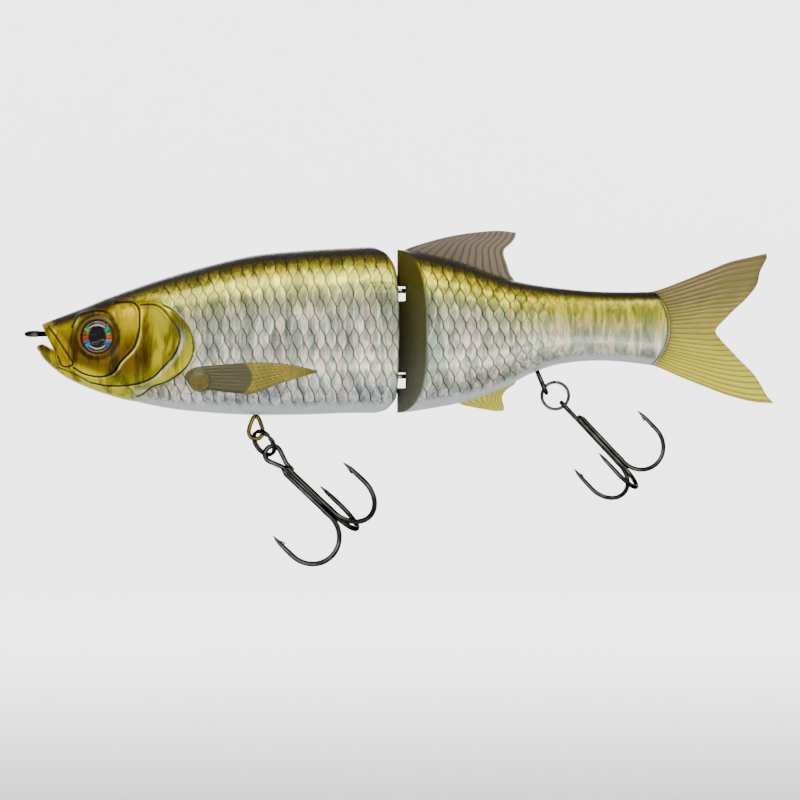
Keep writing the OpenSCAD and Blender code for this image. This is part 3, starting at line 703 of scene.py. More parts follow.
def paintMesh(mesh, section):
    co = coordsOf(mesh)
    x, y, z = co[:, 0], np.abs(co[:, 1]), co[:, 2]
    top, low = heights(np.clip(x, 1, 154))
    deep, up = top - z, z - low
    size = np.clip((top - low) / 40, 0.3, 1)

    def bands(rows, depth):
        rows = np.array(rows, float)
        return np.stack([curveThrough(rows[:, [0, k]], np.clip(depth, 0, rows[-1, 0])) for k in (1, 2, 3)], 1)

    squeeze = 0.35 + 0.65 * size
    # these rows carry painted sheen, painted reflections, a painted highlight and painted shade along with
    # the colours
    flank = bands(paint["flank"], np.where(deep < 12 * squeeze, deep / squeeze, 12 + (deep - 12 * squeeze)))
    headDepth = deep / np.clip(0.4 + x / 40, 0.4, 1)
    colour = bands(paint["head"], headDepth)
    seenX, seenZ = asDrawn(x, z)

    def tintBy(name, amount):
        return colour + (np.array(paint[name], float) - colour) * np.clip(amount, 0, 1)[:, None]

    behind = seenX - curveThrough(gillX, np.clip(seenZ, -17.5, 14))
    coverX = curveThrough(sorted([q, p] for p, q in head["cover"][1:10]), np.clip(seenZ, -12.2, 7))
    cheekX = curveThrough(sorted([q, p] for p, q in head["cheek"][2:9]), np.clip(seenZ, -10.4, 6.3))
    isHead = smooth(0.25, -0.25, behind) * (1 - smooth(7.4, 8.6, seenZ) * smooth(17, 24, seenX))
    lines = {name: lineDistance(head[name], seenX, seenZ)
             for name in ("gill", "cover", "cheek", "lip", "jaw", "brow")}
    # a painted yellow highlight on the cheek behind the eye, pale gill plate, silver crescent, yellow throat
    # and lip
    inCheek = smooth(0.1, -0.1, seenX - cheekX)
    inCover = smooth(0.1, -0.1, seenX - coverX)
    onPlate = (1 - inCheek) * inCover
    # painted highlight: the upper cheek behind the eye is tinted bright yellow where light catches it
    paintedCheekHighlight = smooth(18.5, 22.5, seenX) * smooth(-3, 2.5, seenZ) * smooth(8, 6.6, seenZ)
    colour = tintBy("yellow", 0.9 * inCheek * paintedCheekHighlight)
    plateFront = smooth(29, 26, seenX) * smooth(-6, 0, seenZ) * smooth(7.6, 6.6, seenZ)
    colour = tintBy("yellow", 0.55 * onPlate * plateFront)
    plateBack = smooth(26.5, 29.5, seenX) * smooth(-10.5, -6, seenZ) * smooth(7.4, 6.2, seenZ)
    colour = tintBy("plate", 0.9 * onPlate * plateBack)
    colour = tintBy("plate", 0.8 * (1 - inCover) * smooth(26, 30, seenX) * smooth(9.5, 6.5, seenZ))
    crescent = smooth(1.7, 1.2, seenX - coverX) * smooth(3.5, 1, seenZ) * smooth(-12.4, -11, seenZ)
    colour = tintBy("silver", 0.95 * (1 - inCover) * crescent)
    colour = tintBy("throat", 0.85 * smooth(-4.5, -6.5, seenZ + 0.42 * (seenX - 6)) * smooth(30, 17, seenX))
    colour = tintBy("belly", smooth(18, 34, seenX) * smooth(-12.4, -13.8, seenZ))
    onLip = smooth(1.9, 1.2, lines["lip"]) * smooth(9.6, 8.6, seenX) * smooth(-9, -7, seenZ)
    colour = tintBy("lip", 0.8 * onLip)
    colour = flank + (colour - flank) * isHead[:, None]
    # pearl belly and the yellower tail end
    belly = smooth(3.8, 1.4, up / np.maximum(size, 0.55)) * smooth(20, 34, x)
    colour = tintBy("belly", belly)
    share = deep / np.maximum(top - low, 1)
    tailEnd = smooth(108, 132, x) * smooth(0.08, 0.16, share) * smooth(0.75, 0.3, share)
    colour = tintBy("peduncle", 0.62 * tailEnd)
    # moulded lines, each with a painted highlight as a pale edge below and behind it
    for name in ("cover", "cheek", "gill"):
        paintedEdgeAway = lineDistance(head[name], seenX - 0.42, seenZ + 0.38)
        colour = tintBy("pale", 0.85 * smooth(0.32, 0.1, paintedEdgeAway) * smooth(7, 4, seenZ))
    dark = np.zeros(len(x))
    for name, weight, wide in (("gill", 0.95, 0.3), ("cover", 0.9, 0.3), ("cheek", 0.95, 0.3),
                               ("lip", 0.95, 0.28), ("jaw", 0.6, 0.28), ("brow", 0.9, 0.42)):
        dark = np.maximum(dark, weight * smooth(wide, 0.08, lines[name]))
    nostril = np.hypot(seenX - head["nostril"][0], (seenZ - head["nostril"][1]) * 1.6)
    dark = np.maximum(dark, 0.9 * smooth(0.75, 0.25, nostril))
    away = np.hypot(x - head["eye"][0], z - head["eye"][2])
    dark = np.maximum(dark, 0.55 * smooth(0.7, 0.1, np.abs(away - head["eyeRadius"] - 0.9)))
    dark = np.maximum(dark, 0.8 * smooth(0.35, 0.05, np.abs(x - rearEndX(z) + 0.9)) * (x > 140))
    for hangerX, below in paint["hangers"]:
        hanger = np.where(z > below, 9, np.hypot(x - hangerX, y))
        dark = np.maximum(dark, 0.8 * smooth(1.6, 0.7, hanger))
    colour = tintBy("ink", dark * smooth(0, 0.6, y))
    # end faces: bare matt plastic in the joint, dark at the back and paler at the belly
    foil = smooth(1.5, 3.4, deep / squeeze) * (1 - belly) * (1 - dark)
    scaly = scaleZone(x, z)
    skinY, _ = skinHere(x, z)
    if section == "rear":
        joint = smooth(0.12, 0.3, skinY - y) * (x < 97) + (x > 149.6) * smooth(0.3, 0.9, skinY - y)
    else:
        joint = smooth(0.25, 0.5, skinY - y) * (x > 80)
    joint = np.clip(joint, 0, 1)
    bare = np.array(paint["bare"], float)
    tone = np.clip((18 - z) / 36, 0, 1)
    bareTone = np.stack([np.interp(tone, (0, 0.5, 1), bare[:, k]) for k in range(3)], 1)
    colour = colour + (bareTone - colour) * joint[:, None]
    lin = toLinear(colour)
    tint = mesh.attributes.new("paint", "FLOAT_COLOR", "POINT")
    tint.data.foreach_set("color", np.concatenate([lin, np.ones((len(lin), 1))], 1).ravel())
    marks = mesh.attributes.new("marks", "FLOAT_VECTOR", "POINT")
    marks.data.foreach_set("vector", np.stack([foil * (1 - joint), scaly * (1 - joint), joint], 1).ravel())
    headed = mesh.attributes.new("headed", "FLOAT", "POINT")
    headed.data.foreach_set("value", isHead * smooth(1.5, 3.5, deep))
    giveUv(mesh, np.stack(scaleCount(x, z), 1))


def skinHere(x, z):
    # half width of the body at a point seen from the side
    top, low = heights(np.clip(x, 1, 154))
    s = np.clip((2 * z - top - low) / (top - low), -1, 1)
    half = curveThrough(body["halfWidth"], np.clip(x, 1, 154)) * body["width"] / 2
    power = np.where(s > 0, body["backPower"], body["bellyPower"])
    return half * np.maximum(1 - np.abs(s) ** power, 0) ** (1 / body["sidePower"]), s


def giveUv(mesh, perVertex):
    layer = mesh.uv_layers.new(name="UVMap")
    loops = np.empty(len(mesh.loops), int)
    mesh.loops.foreach_get("vertex_index", loops)
    layer.data.foreach_set("uv", np.asarray(perVertex, float)[loops].ravel())


def makeBodyPaint():
    material, tree, shader = newMaterial("foilBody")
    tint = add(tree, "Attribute", attribute_name="paint").outputs["Color"]
    marks = add(tree, "SeparateXYZ", {0: add(tree, "Attribute", attribute_name="marks").outputs["Vector"]})
    foil, scaly, bare = marks.outputs
    headed = add(tree, "Attribute", attribute_name="headed").outputs["Fac"]
    coords = add(tree, "TexCoord")
    net = useGroup(tree, scaleNet, {"UV": coords.outputs["UV"], "Width": 0.085})
    grain = useGroup(tree, foilGrain, {"Vector": coords.outputs["Object"]})
    flanked = calc(tree, "SUBTRACT", 1.0, calc(tree, "MULTIPLY", headed, 0.75))
    foiled = mixColour(tree, calc(tree, "MULTIPLY", foil, flanked), tint,
                       mixColour(tree, 1.0, tint, grain.outputs["Tint"], "MULTIPLY"))
    headStreak = calc(tree, "MULTIPLY", calc(tree, "SUBTRACT", grain.outputs["Streak"], 1.0), headed)
    foiled = dimBy(tree, foiled, calc(tree, "ADD", headStreak, 1.0))
    perScale = rescale(tree, net.outputs["Cell"], 0.0, 1.0, 0.74, 1.16)
    perScale = calc(tree, "ADD", calc(tree, "MULTIPLY", calc(tree, "SUBTRACT", perScale, 1.0), scaly), 1.0)
    # painted highlight: a pale glint on each scale just before the next outline, added to a random tone per
    # scale
    paintedGlint = calc(tree, "POWER", net.outputs["Rise"], 2.5)
    scaleToneAndGlint = calc(tree, "MULTIPLY_ADD", calc(tree, "MULTIPLY", paintedGlint, scaly), 0.6, perScale)
    toned = dimBy(tree, foiled, scaleToneAndGlint)
    inked = mixColour(tree, calc(tree, "MULTIPLY", calc(tree, "MULTIPLY", net.outputs["Lines"], scaly), 0.92),
                      toned, linear(22, 20, 12))
    speck = add(tree, "TexNoise", {"Vector": coords.outputs["Object"], "Scale": 4200.0, "Detail": 2.0})
    specks = calc(tree, "MULTIPLY", bare, rescale(tree, speck.outputs[0], 0.42, 0.62, 0.0, 0.45))
    grit = mixColour(tree, specks, inked, linear(40, 38, 26))
    height = calc(tree, "MULTIPLY_ADD", net.outputs["Rise"], calc(tree, "MULTIPLY", scaly, 1.1),
                  calc(tree, "MULTIPLY", grain.outputs["Crinkle"], calc(tree, "MULTIPLY", foil, 0.5)))
    height = calc(tree, "MULTIPLY_ADD", speck.outputs[0], calc(tree, "MULTIPLY", bare, 0.5), height)
    bump = add(tree, "Bump", {"Height": height, "Strength": 0.7, "Distance": 0.00016})
    rough = rescale(tree, grain.outputs["Crinkle"], 0.7, 1.3, 0.24, 0.40)
    coat = calc(tree, "MULTIPLY_ADD", headed, -0.28, calc(tree, "MULTIPLY_ADD", bare, -0.4, 0.4), clamp=True)
    setShader(tree, shader, {
        "Base Color": grit,
        "Metallic": calc(tree, "MULTIPLY", foil, 0.55),
        "Roughness": calc(tree, "MAXIMUM", rough, calc(tree, "MULTIPLY", bare, 0.75)),
        "Coat Weight": coat,
        "Specular IOR Level": calc(tree, "MULTIPLY_ADD", headed, -0.2, 0.3),
        "Coat Roughness": 0.08, "Coat IOR": 1.4, "Normal": bump.outputs[0]})
    return material


foilBody = makeBodyPaint()
frontNose = boxOf("front_shell_right")[0][0]
sections = {
    "front": {"body": "front_body", "cells": body["frontCells"], "cut": plateCutter(body["mouth"], 15),
              "start": lambda y, z: np.full(len(z), frontNose), "end": lambda y, z: frontEndX(z) - 0.35,
              "caps": (noseCap, frontCap)},
    "rear": {"body": "rear_body", "cells": body["rearCells"], "cut": slotCutter(),
             "start": lambda y, z: bevelX(y), "end": lambda y, z: rearEndX(z) - 0.5,
             "caps": (bevelCap, tailCap)},
}
for section, facts in sections.items():
    rough = shapeHalf(section, facts["cells"], facts["start"], facts["end"], *facts["caps"])
    half = carve(rough, facts["cut"])
    for side, sign in (("left", -1), ("right", 1)):
        name = section + "_shell_" + side
        bm = bmesh.new()
        bm.from_mesh(half)
        bmesh.ops.scale(bm, vec=(1, sign, 1), verts=bm.verts)
        if sign < 0:
            bmesh.ops.reverse_faces(bm, faces=bm.faces)
        mesh = bpy.data.meshes.new(name + "_skin")
        bm.to_mesh(mesh)
        bm.free()
        paintMesh(mesh, section)
        placeCoords(mesh, coordsOf(mesh) * mm)
        finishPiece(mesh, name + "_skin", facts["body"], foilBody, [name])
    print(section, "section made,", len(mesh.polygons), "faces a side")


# ---- metal ----

def makeMetal(name, base, rubbed, edge=0.9):
    material, tree, shader = newMaterial(name)
    coords = add(tree, "TexCoord")
    wear = useGroup(tree, handlingWear, {"Vector": coords.outputs["Object"], "Base": base, "Rubbed": rubbed})
    bump = add(tree, "Bump", {"Height": wear.outputs["Height"], "Strength": 0.15, "Distance": 0.00003})
    facing = add(tree, "LayerWeight", {0: 0.5}).outputs["Facing"]
    # a painted highlight as a pale line along the middle of the wire, and painted shade at its dark edges
    paintedSheen = rampOf(tree, facing, [(0.0, (2.7, 2.7, 2.7, 1)), (0.14, (1.2, 1.2, 1.2, 1)),
                                  (0.5, (0.3, 0.3, 0.3, 1))])
    colour = mixColour(tree, 1.0, wear.outputs["Colour"], paintedSheen, "MULTIPLY")
    setShader(tree, shader, {"Base Color": colour, "Metallic": 1.0, "Specular Tint": (edge, edge, edge, 1),
                             "Roughness": wear.outputs["Roughness"], "Normal": bump.outputs[0]})
    return material


blackNickel = makeMetal("blackNickel", linear(44, 44, 42), linear(78, 78, 75), 0.2)
bronzeNickel = makeMetal("bronzeNickel", linear(66, 58, 36), linear(92, 82, 56), 0.3)
brightWire = makeMetal("brightWire", linear(176, 174, 168), linear(200, 198, 192), 0.6)
dullLead = makeMetal("dullLead", linear(96, 97, 99), linear(130, 131, 133))

tie = {"wire": 0.55, "eye": 1.8, "legs": 2.9, "end": 8.0, "legGap": 0.62, "mouth": 38, "roll": 9}


def hairpin(eye, legs, end, gap, mouth):
    flat = ([(end, -gap), (legs + 1.2, -gap), (legs, -gap)] + arcPoints((0, 0), eye, -mouth, mouth - 360, 44)
            + [(legs, gap), (legs + 1.2, gap), (end, gap)])
    return [(x, y, 0) for x, y in flat]


bm = bmesh.new()
drawWire(bm, hairpin(tie["eye"], tie["legs"], tie["end"], tie["legGap"], tie["mouth"]), tie["wire"])
makePiece(bm, "line_tie_wire", "front_body", blackNickel, ["line_tie"],
          Matrix.Rotation(math.radians(tie["roll"]), 4, "X"))

hingeEye = {"wire": 0.55, "eye": 1.43, "legs": 2.6, "end": 9.0, "mouth": 42}
for name in ("upper_hinge_eye", "lower_hinge_eye"):
    bm = bmesh.new()
    path = hairpin(hingeEye["eye"], hingeEye["legs"], hingeEye["end"], tie["legGap"], hingeEye["mouth"])
    drawWire(bm, path, hingeEye["wire"])
    place = Matrix.Translation((body["hingeX"], 0, middleOf(name)[2])) @ Matrix.Rotation(math.pi, 4, "Z")
    makePiece(bm, name + "_wire", "front_body", brightWire, [name], place)

swivel = {"wire": 0.525, "stem": 0.55, "head": 1.1}


def makeSwivel(name, jointName, turn, material):
    joint = joints[jointName]
    axis = Vector(joint["axis"])
    half = [(0, -5.55), (0.85, -5.32), (1.45, -4.7), (1.7, -3.85), (1.58, -2.9), (1.2, -1.8),
            (0.85, -0.9), (0.5, -0.3), (0, -0.08)]
    right = alongLine(half, np.linspace(0, 1, 30))
    left = right[-2:0:-1] * (-1, 1)
    flat = np.concatenate([right, left])
    bm = bmesh.new()
    drawWire(bm, [(x, 0, z) for x, z in flat], swivel["wire"], closed=True)
    stem, top = swivel["stem"], swivel["head"]
    turnProfile(bm, [(0, -0.35), (stem, -0.3), (stem, 2.05), (top - 0.15, 2.1), (top, 2.25), (top, 3.55),
                     (top - 0.15, 3.7), (0, 3.7)], 24)
    tilt = Vector((0, 0, 1)).rotation_difference(axis).to_matrix().to_4x4()
    place = Matrix.Translation(jointAt(jointName)) @ tilt @ Matrix.Rotation(math.radians(turn), 4, "Z")
    makePiece(bm, name + "_wire", joint["child"], material, [name], place)


makeSwivel("front_swivel_eye", "front_swivel_turn", 0, bronzeNickel)
makeSwivel("rear_swivel_eye", "rear_swivel_turn", 90, blackNickel)

ringWire = {"mean": 3.25, "radial": 0.375, "axial": 0.285, "turns": 1.98, "step": 0.29, "cross": 22,
            "steps": 150, "start": 100}


def makeRing(name, bodyName, place):
    # two flat coils of one wire, which cross over in a short slope
    bm = bmesh.new()
    points = []
    total = 360 * ringWire["turns"]
    for i in range(ringWire["steps"] + 1):
        angle = total * i / ringWire["steps"]
        crossed = float(smooth(-ringWire["cross"], ringWire["cross"], angle - total / 2))
        rise = ringWire["step"] * (2 * crossed - 1)
        t = math.radians(angle + ringWire["start"])
        points.append((ringWire["mean"] * math.cos(t), ringWire["mean"] * math.sin(t), rise))
    drawRibbon(bm, points, ringWire["radial"], ringWire["axial"])
    makePiece(bm, name + "_coils", bodyName, blackNickel, [name], place)


def drawRibbon(bm, points, radial, axial, sides=16):
    # a wire of rounded flat section that keeps its flat side along the ring's axis
    ring = bmesh.ops.create_circle(bm, cap_ends=True, radius=1, segments=sides)["verts"]
    for vert in ring:
        c, s = vert.co.x, vert.co.y
        vert.co.x = math.copysign(abs(c) ** 0.6, c) * radial
        vert.co.y = math.copysign(abs(s) ** 0.6, s) * axial
    edges = list({edge for vert in ring for edge in vert.link_edges})
    last = Matrix.Identity(4)
    for i, point in enumerate(points):
        out = Vector((point[0], point[1], 0)).normalized()
        up = Vector((0, 0, 1))
        matrix = Matrix((out, up, out.cross(up))).transposed().to_4x4()
        matrix.translation = Vector(point)
        if i == 0:
            bmesh.ops.transform(bm, matrix=matrix, verts=ring)
        else:
            verts, edges = growEdges(bm, edges)
            bmesh.ops.transform(bm, matrix=matrix @ last.inverted(), verts=verts)
        last = matrix
    bmesh.ops.edgeloop_fill(bm, edges=edges)


ringPlace = {"dip": 52, "turn": 52}
frontRing = (Matrix.Translation(middleOf("front_split_ring"))
             @ Matrix.Rotation(math.radians(ringPlace["dip"]), 4, "Y")
             @ Matrix.Rotation(math.radians(90 + ringPlace["turn"]), 4, "X"))
rearRing = Matrix.Translation(middleOf("rear_split_ring")) @ Matrix.Rotation(math.radians(90), 4, "X")
makeRing("front_split_ring", "front_ring", frontRing)
makeRing("rear_split_ring", "rear_ring", rearRing)

trebles = {
    "front": {"dip": 43.5, "size": 1.0, "shank": 22.3, "prongs": (21, 141, 261), "shift": -0.6, "turn": 0,
              "joint": "front_hook_swing", "hang": 1.75, "point": 6.9},
    "rear": {"dip": 46.8, "size": 0.86, "shank": 20.75 / 0.86, "prongs": (77, 197, 317), "shift": 0.6,
             "turn": 90, "joint": "rear_hook_swing", "hang": 0.0, "point": 7.7},
}
hook = {"wire": 0.625, "shankY": 0.78, "bend": 6.9, "throat": 6.1, "eye": 1.95, "eyeLeg": 0.62}


def makeTreble(which):
    facts = trebles[which]
    shank, bend, out = facts["shank"], hook["bend"], hook["shankY"]
    leg = out + 2 * bend
    pointZ, tipZ = shank - 2.2, shank - facts["point"]
    throat = -hook["throat"]
    path = [(out - 0.35, throat + 0.2), (out, throat - 1.4), (out, throat - 4), (out, -shank + 3),
            (out + 0.1, -shank + 1)]
    path += arcPoints((out + bend, -shank), bend, 180, 360, 44)
    path += [(leg, -pointZ - 1), (leg, -pointZ), (leg - 0.06, -tipZ - 2.6), (leg - 0.15, -tipZ - 1.4),
             (leg - 0.24, -tipZ - 0.5), (leg - 0.3, -tipZ)]
    tip = [hook["wire"] * k for k in (0.98, 0.86, 0.58, 0.26, 0.04)]
    radii = [hook["wire"] * 0.45] + [hook["wire"]] * (len(path) - len(tip) - 1) + tip
    bm = bmesh.new()
    for angle in facts["prongs"]:
        prong = bmesh.new()
        drawWire(prong, [(x, 0, z) for x, z in path], radii)
        barb = [(leg - 0.22, -tipZ - 2.0), (leg - 0.62, -tipZ - 2.6), (leg - 1.18, -tipZ - 3.5)]
        drawWire(prong, [(x, 0, z) for x, z in barb], [0.30, 0.22, 0.05], 8)
        barb = [(leg - 0.15, -tipZ - 3.6), (leg - 0.55, -tipZ - 3.3), (leg - 1.18, -tipZ - 3.5)]
        drawWire(prong, [(x, 0, z) for x, z in barb], [0.34, 0.24, 0.05], 8)
        turned = (Matrix.Translation((facts["shift"], 0, 0)) @ Matrix.Rotation(math.radians(angle), 4, "Z")
                  @ Matrix.Scale(-1, 4, (1, 0, 0)))
        bmesh.ops.transform(prong, matrix=turned, verts=prong.verts)
        part = bpy.data.meshes.new("prong")
        prong.to_mesh(part)
        prong.free()
        bm.from_mesh(part)
    apart = hook["eyeLeg"]
    eyePath = ([(-apart, throat - 2.2), (-apart, throat + 0.3)]
               + arcPoints((0, -hook["eye"]), hook["eye"], 200, -20, 36)
               + [(apart, throat + 0.3), (apart, throat - 2.2)])
    eye = bmesh.new()
    drawWire(eye, [(x, 0, z) for x, z in eyePath], [0.45] + [0.594] * (len(eyePath) - 2) + [0.45])
    bmesh.ops.rotate(eye, cent=(0, 0, 0), matrix=Matrix.Rotation(math.radians(facts["turn"]), 3, "Z"),
                     verts=eye.verts)
    part = bpy.data.meshes.new("eye")
    eye.to_mesh(part)
    eye.free()
    bm.from_mesh(part)
    # the brazed core between the three shanks
    core = bmesh.new()
    top = throat + 0.2
    drawWire(core, [(facts["shift"], 0, z) for z in (top, top - 0.8, top - 6, top - 12.5, top - 14)],
             [0.5, 0.78, 0.74, 0.66, 0.3], 12)
    core.to_mesh(part)
    core.free()
    bm.from_mesh(part)
    bmesh.ops.scale(bm, vec=(facts["size"],) * 3, verts=bm.verts)
    dip = math.radians(facts["dip"])
    at = Vector(jointAt(facts["joint"])) - facts["hang"] * Vector((math.cos(dip), 0, -math.sin(dip)))
    place = Matrix.Translation(at) @ Matrix.Rotation(dip - math.pi / 2, 4, "Y")
    makePiece(bm, which + "_treble_hook", which + "_hook", blackNickel, [which + "_treble"],
              place)


makeTreble("front")
makeTreble("rear")
print("hooks, rings and wires made")


# ---- soft fins ----

def coonsSheet(st, sides):
    # a sheet stretched between four smooth edge lines: root, edge, low and high
    u, v = st[:, 0:1], st[:, 1:2]
    root, edge = alongLine(sides["root"], st[:, 1]), alongLine(sides["edge"], st[:, 1])
    low, high = alongLine(sides["low"], st[:, 0]), alongLine(sides["high"], st[:, 0])
    corner = [np.array(sides[side][end], float) for side in ("root", "edge") for end in (0, -1)]
    flat = (1 - u) * ((1 - v) * corner[0] + v * corner[1]) + u * ((1 - v) * corner[2] + v * corner[3])
    return (1 - v) * low + v * high + (1 - u) * root + u * edge - flat


fins = {
    "tail": {"cells": (150, 240), "rays": 26, "thick": (1.0, 0.42), "rib": 0.22, "span": (27, 30),
             "root": [[142, -6.2], [143, 1.5], [142, 9.9]],
             "edge": [[179, -16.8], [177.3, -15], [175.9, -12.5], [173.9, -9.5], [170.7, -6.3], [168.3, -3.7],
                      [165.9, -1.1], [164.9, 0.8], [167.5, 3.9], [169.7, 6.1], [172.3, 8.5], [174.9, 11.9],
                      [175.7, 15.1], [177.3, 18.4], [177.2, 19.5]],
             "low": [[142, -6.2], [147.4, -7.1], [150.4, -7.9], [156.5, -10.5], [162.5, -12.9],
                     [168.5, -15.1], [174.5, -16.5], [179, -16.8]],
             "high": [[142, 9.9], [146, 10.15], [150, 10.4], [156.5, 12.7], [162.5, 15.1], [168.5, 17.5],
                      [173.7, 18.7], [177.2, 19.5]]},
    "dorsal": {"cells": (90, 170), "rays": 13, "thick": (0.62, 0.3), "rib": 0.1, "span": (9, 22),
               "root": [[89.6, 19.2], [97, 17.6], [103, 15.6], [109.5, 13.2], [116.2, 11.6]],
               "edge": [[99.5, 23.4], [103, 24.1], [107.7, 24.7], [112.6, 25], [116.7, 24.5]],
               "low": [[89.6, 19.2], [89.6, 20.3], [93.3, 21.7], [97.1, 22.8], [99.5, 23.4]],
               "high": [[116.2, 11.6], [116.2, 12.9], [115.1, 14.6], [114.3, 17.1], [113.6, 19.2],
                        [113.8, 20.5], [115.1, 21.7], [116.2, 23], [116.7, 24.5]]},
    "anal": {"cells": (50, 90), "rays": 9, "thick": (0.62, 0.3), "rib": 0.09, "span": (5, 12),
             "root": [[103, -15.6], [109, -13.6], [116.5, -10.9]],
             "edge": [[109.5, -18.4], [111.5, -18.7], [113.6, -18.6]],
             "low": [[103, -15.6], [102.9, -16.9], [106.3, -17.8], [109.5, -18.4]],
             "high": [[116.5, -10.9], [116.4, -12], [115.2, -12.9], [114, -13.9], [113.2, -15.5],
                      [113.7, -17.6], [113.6, -18.6]]},
    "pectoral": {"cells": (190, 60), "rays": 8, "thick": (0.6, 0.3), "rib": 0.1, "span": (30, 6),
                 "root": [[36.9, -11.0], [36.7, -10.3], [37, -9.6]],
                 "edge": [[68.2, -9.5], [68.4, -9.4], [68.2, -9.2]],
                 "low": [[36.9, -11.0], [38, -12.6], [40, -14.1], [42.4, -13.7], [46.8, -14.2], [52.8, -14.5],
                         [58.4, -12.4], [64.2, -10.6], [68.2, -9.5]],
                 "high": [[37, -9.6], [38, -8.7], [39.8, -8.1], [44.5, -7.6], [51.4, -7.1], [57.2, -7.1],
                          [63, -7.8], [68.2, -9.2]]},
}


def finMesh(name, facts):
    # one ribbed face, thinned to nothing at its outline, then mirrored to a closed blade
    mesh, st = gridMesh(name, *facts["cells"])
    xz = coonsSheet(st, facts)
    u, v = st[:, 0], st[:, 1]
    thick = facts["thick"][0] + (facts["thick"][1] - facts["thick"][0]) * u**0.8
    ridge = 0.5 - 0.5 * np.cos(2 * math.pi * facts["rays"] * v)
    thick = thick - facts["rib"] * ridge * smooth(0, 0.15, u) * (1 - 0.4 * u)
    toEdge = np.minimum(np.minimum(v, 1 - v) * facts["span"][1], np.minimum(u * 4, 1 - u) * facts["span"][0])
    thick = thick * np.sqrt(np.clip(toEdge / 0.55, 0, 1) * (2 - np.clip(toEdge / 0.55, 0, 1)))
    placeCoords(mesh, np.stack([xz[:, 0], thick, xz[:, 1]], 1))
    giveUv(mesh, st)
    bm = bmesh.new()
    bm.from_mesh(mesh)
    bmesh.ops.mirror(bm, geom=bm.verts[:] + bm.edges[:] + bm.faces[:], axis="Y", merge_dist=0.0001)
    bmesh.ops.recalc_face_normals(bm, faces=bm.faces)
    bm.to_mesh(mesh)
    bm.free()
    return mesh


def makeFinPlastic(name, rays, colours, valley, glow, rough):
    # colours run across the rays; valley darkens the furrows and glow lets light through
    material, tree, shader = newMaterial(name)
    coords = add(tree, "TexCoord")
    lines = useGroup(tree, finRays, {"UV": coords.outputs["UV"], "Rays": float(rays)})
    cloud = lines.outputs["Cloud"]
    drift = calc(tree, "SUBTRACT", cloud, 0.5)
    base = rampOf(tree, calc(tree, "MULTIPLY_ADD", drift, 0.25, lines.outputs["Across"]), colours)
    furrow = rescale(tree, lines.outputs["Ridge"], 0.45, 1.0)
    base = mixColour(tree, calc(tree, "MULTIPLY", furrow, valley[1]), base, valley[0])
    away = calc(tree, "PINGPONG", lines.outputs["Across"], 0.5)
    rim = calc(tree, "MAXIMUM", rescale(tree, away, 0.022, 0.0),
               rescale(tree, lines.outputs["Along"], 0.982, 1.0))
    base = mixColour(tree, calc(tree, "MULTIPLY", rim, 0.6), base, valley[0])
    bump = add(tree, "Bump", {"Height": calc(tree, "MULTIPLY_ADD", lines.outputs["Joint"], 0.3, cloud),
                              "Strength": 0.35, "Distance": 0.00006})
    gloss = rescale(tree, cloud, 0.3, 0.7, rough, rough + 0.12)
    setShader(tree, shader, {"Base Color": base, "Roughness": gloss, "Subsurface Weight": glow,
                             "Subsurface Radius": (1.0, 0.8, 0.35), "Subsurface Scale": 0.0012,
                             "Coat Weight": 0.25, "Coat Roughness": 0.2, "Normal": bump.outputs[0]})
    return material


tailPlastic = makeFinPlastic("softTail", fins["tail"]["rays"],
                             [(0.0, linear(222, 212, 100)), (0.35, linear(204, 194, 92)),
                              (0.55, linear(164, 152, 76)), (0.8, linear(122, 110, 54)),
                              (1.0, linear(112, 98, 48))],
                             (linear(92, 82, 34), 0.7), 0.2, 0.32)
dorsalPlastic = makeFinPlastic("dorsalPlastic", fins["dorsal"]["rays"],
                               [(0.0, linear(98, 86, 70)), (0.5, linear(112, 99, 82)),
                                (1.0, linear(126, 113, 94))],
                               (linear(58, 50, 42), 0.85), 0.12, 0.38)
analPlastic = makeFinPlastic("analPlastic", fins["anal"]["rays"],
                             [(0.0, linear(224, 216, 112)), (1.0, linear(214, 206, 112))],
                             (linear(112, 102, 40), 0.75), 0.2, 0.35)


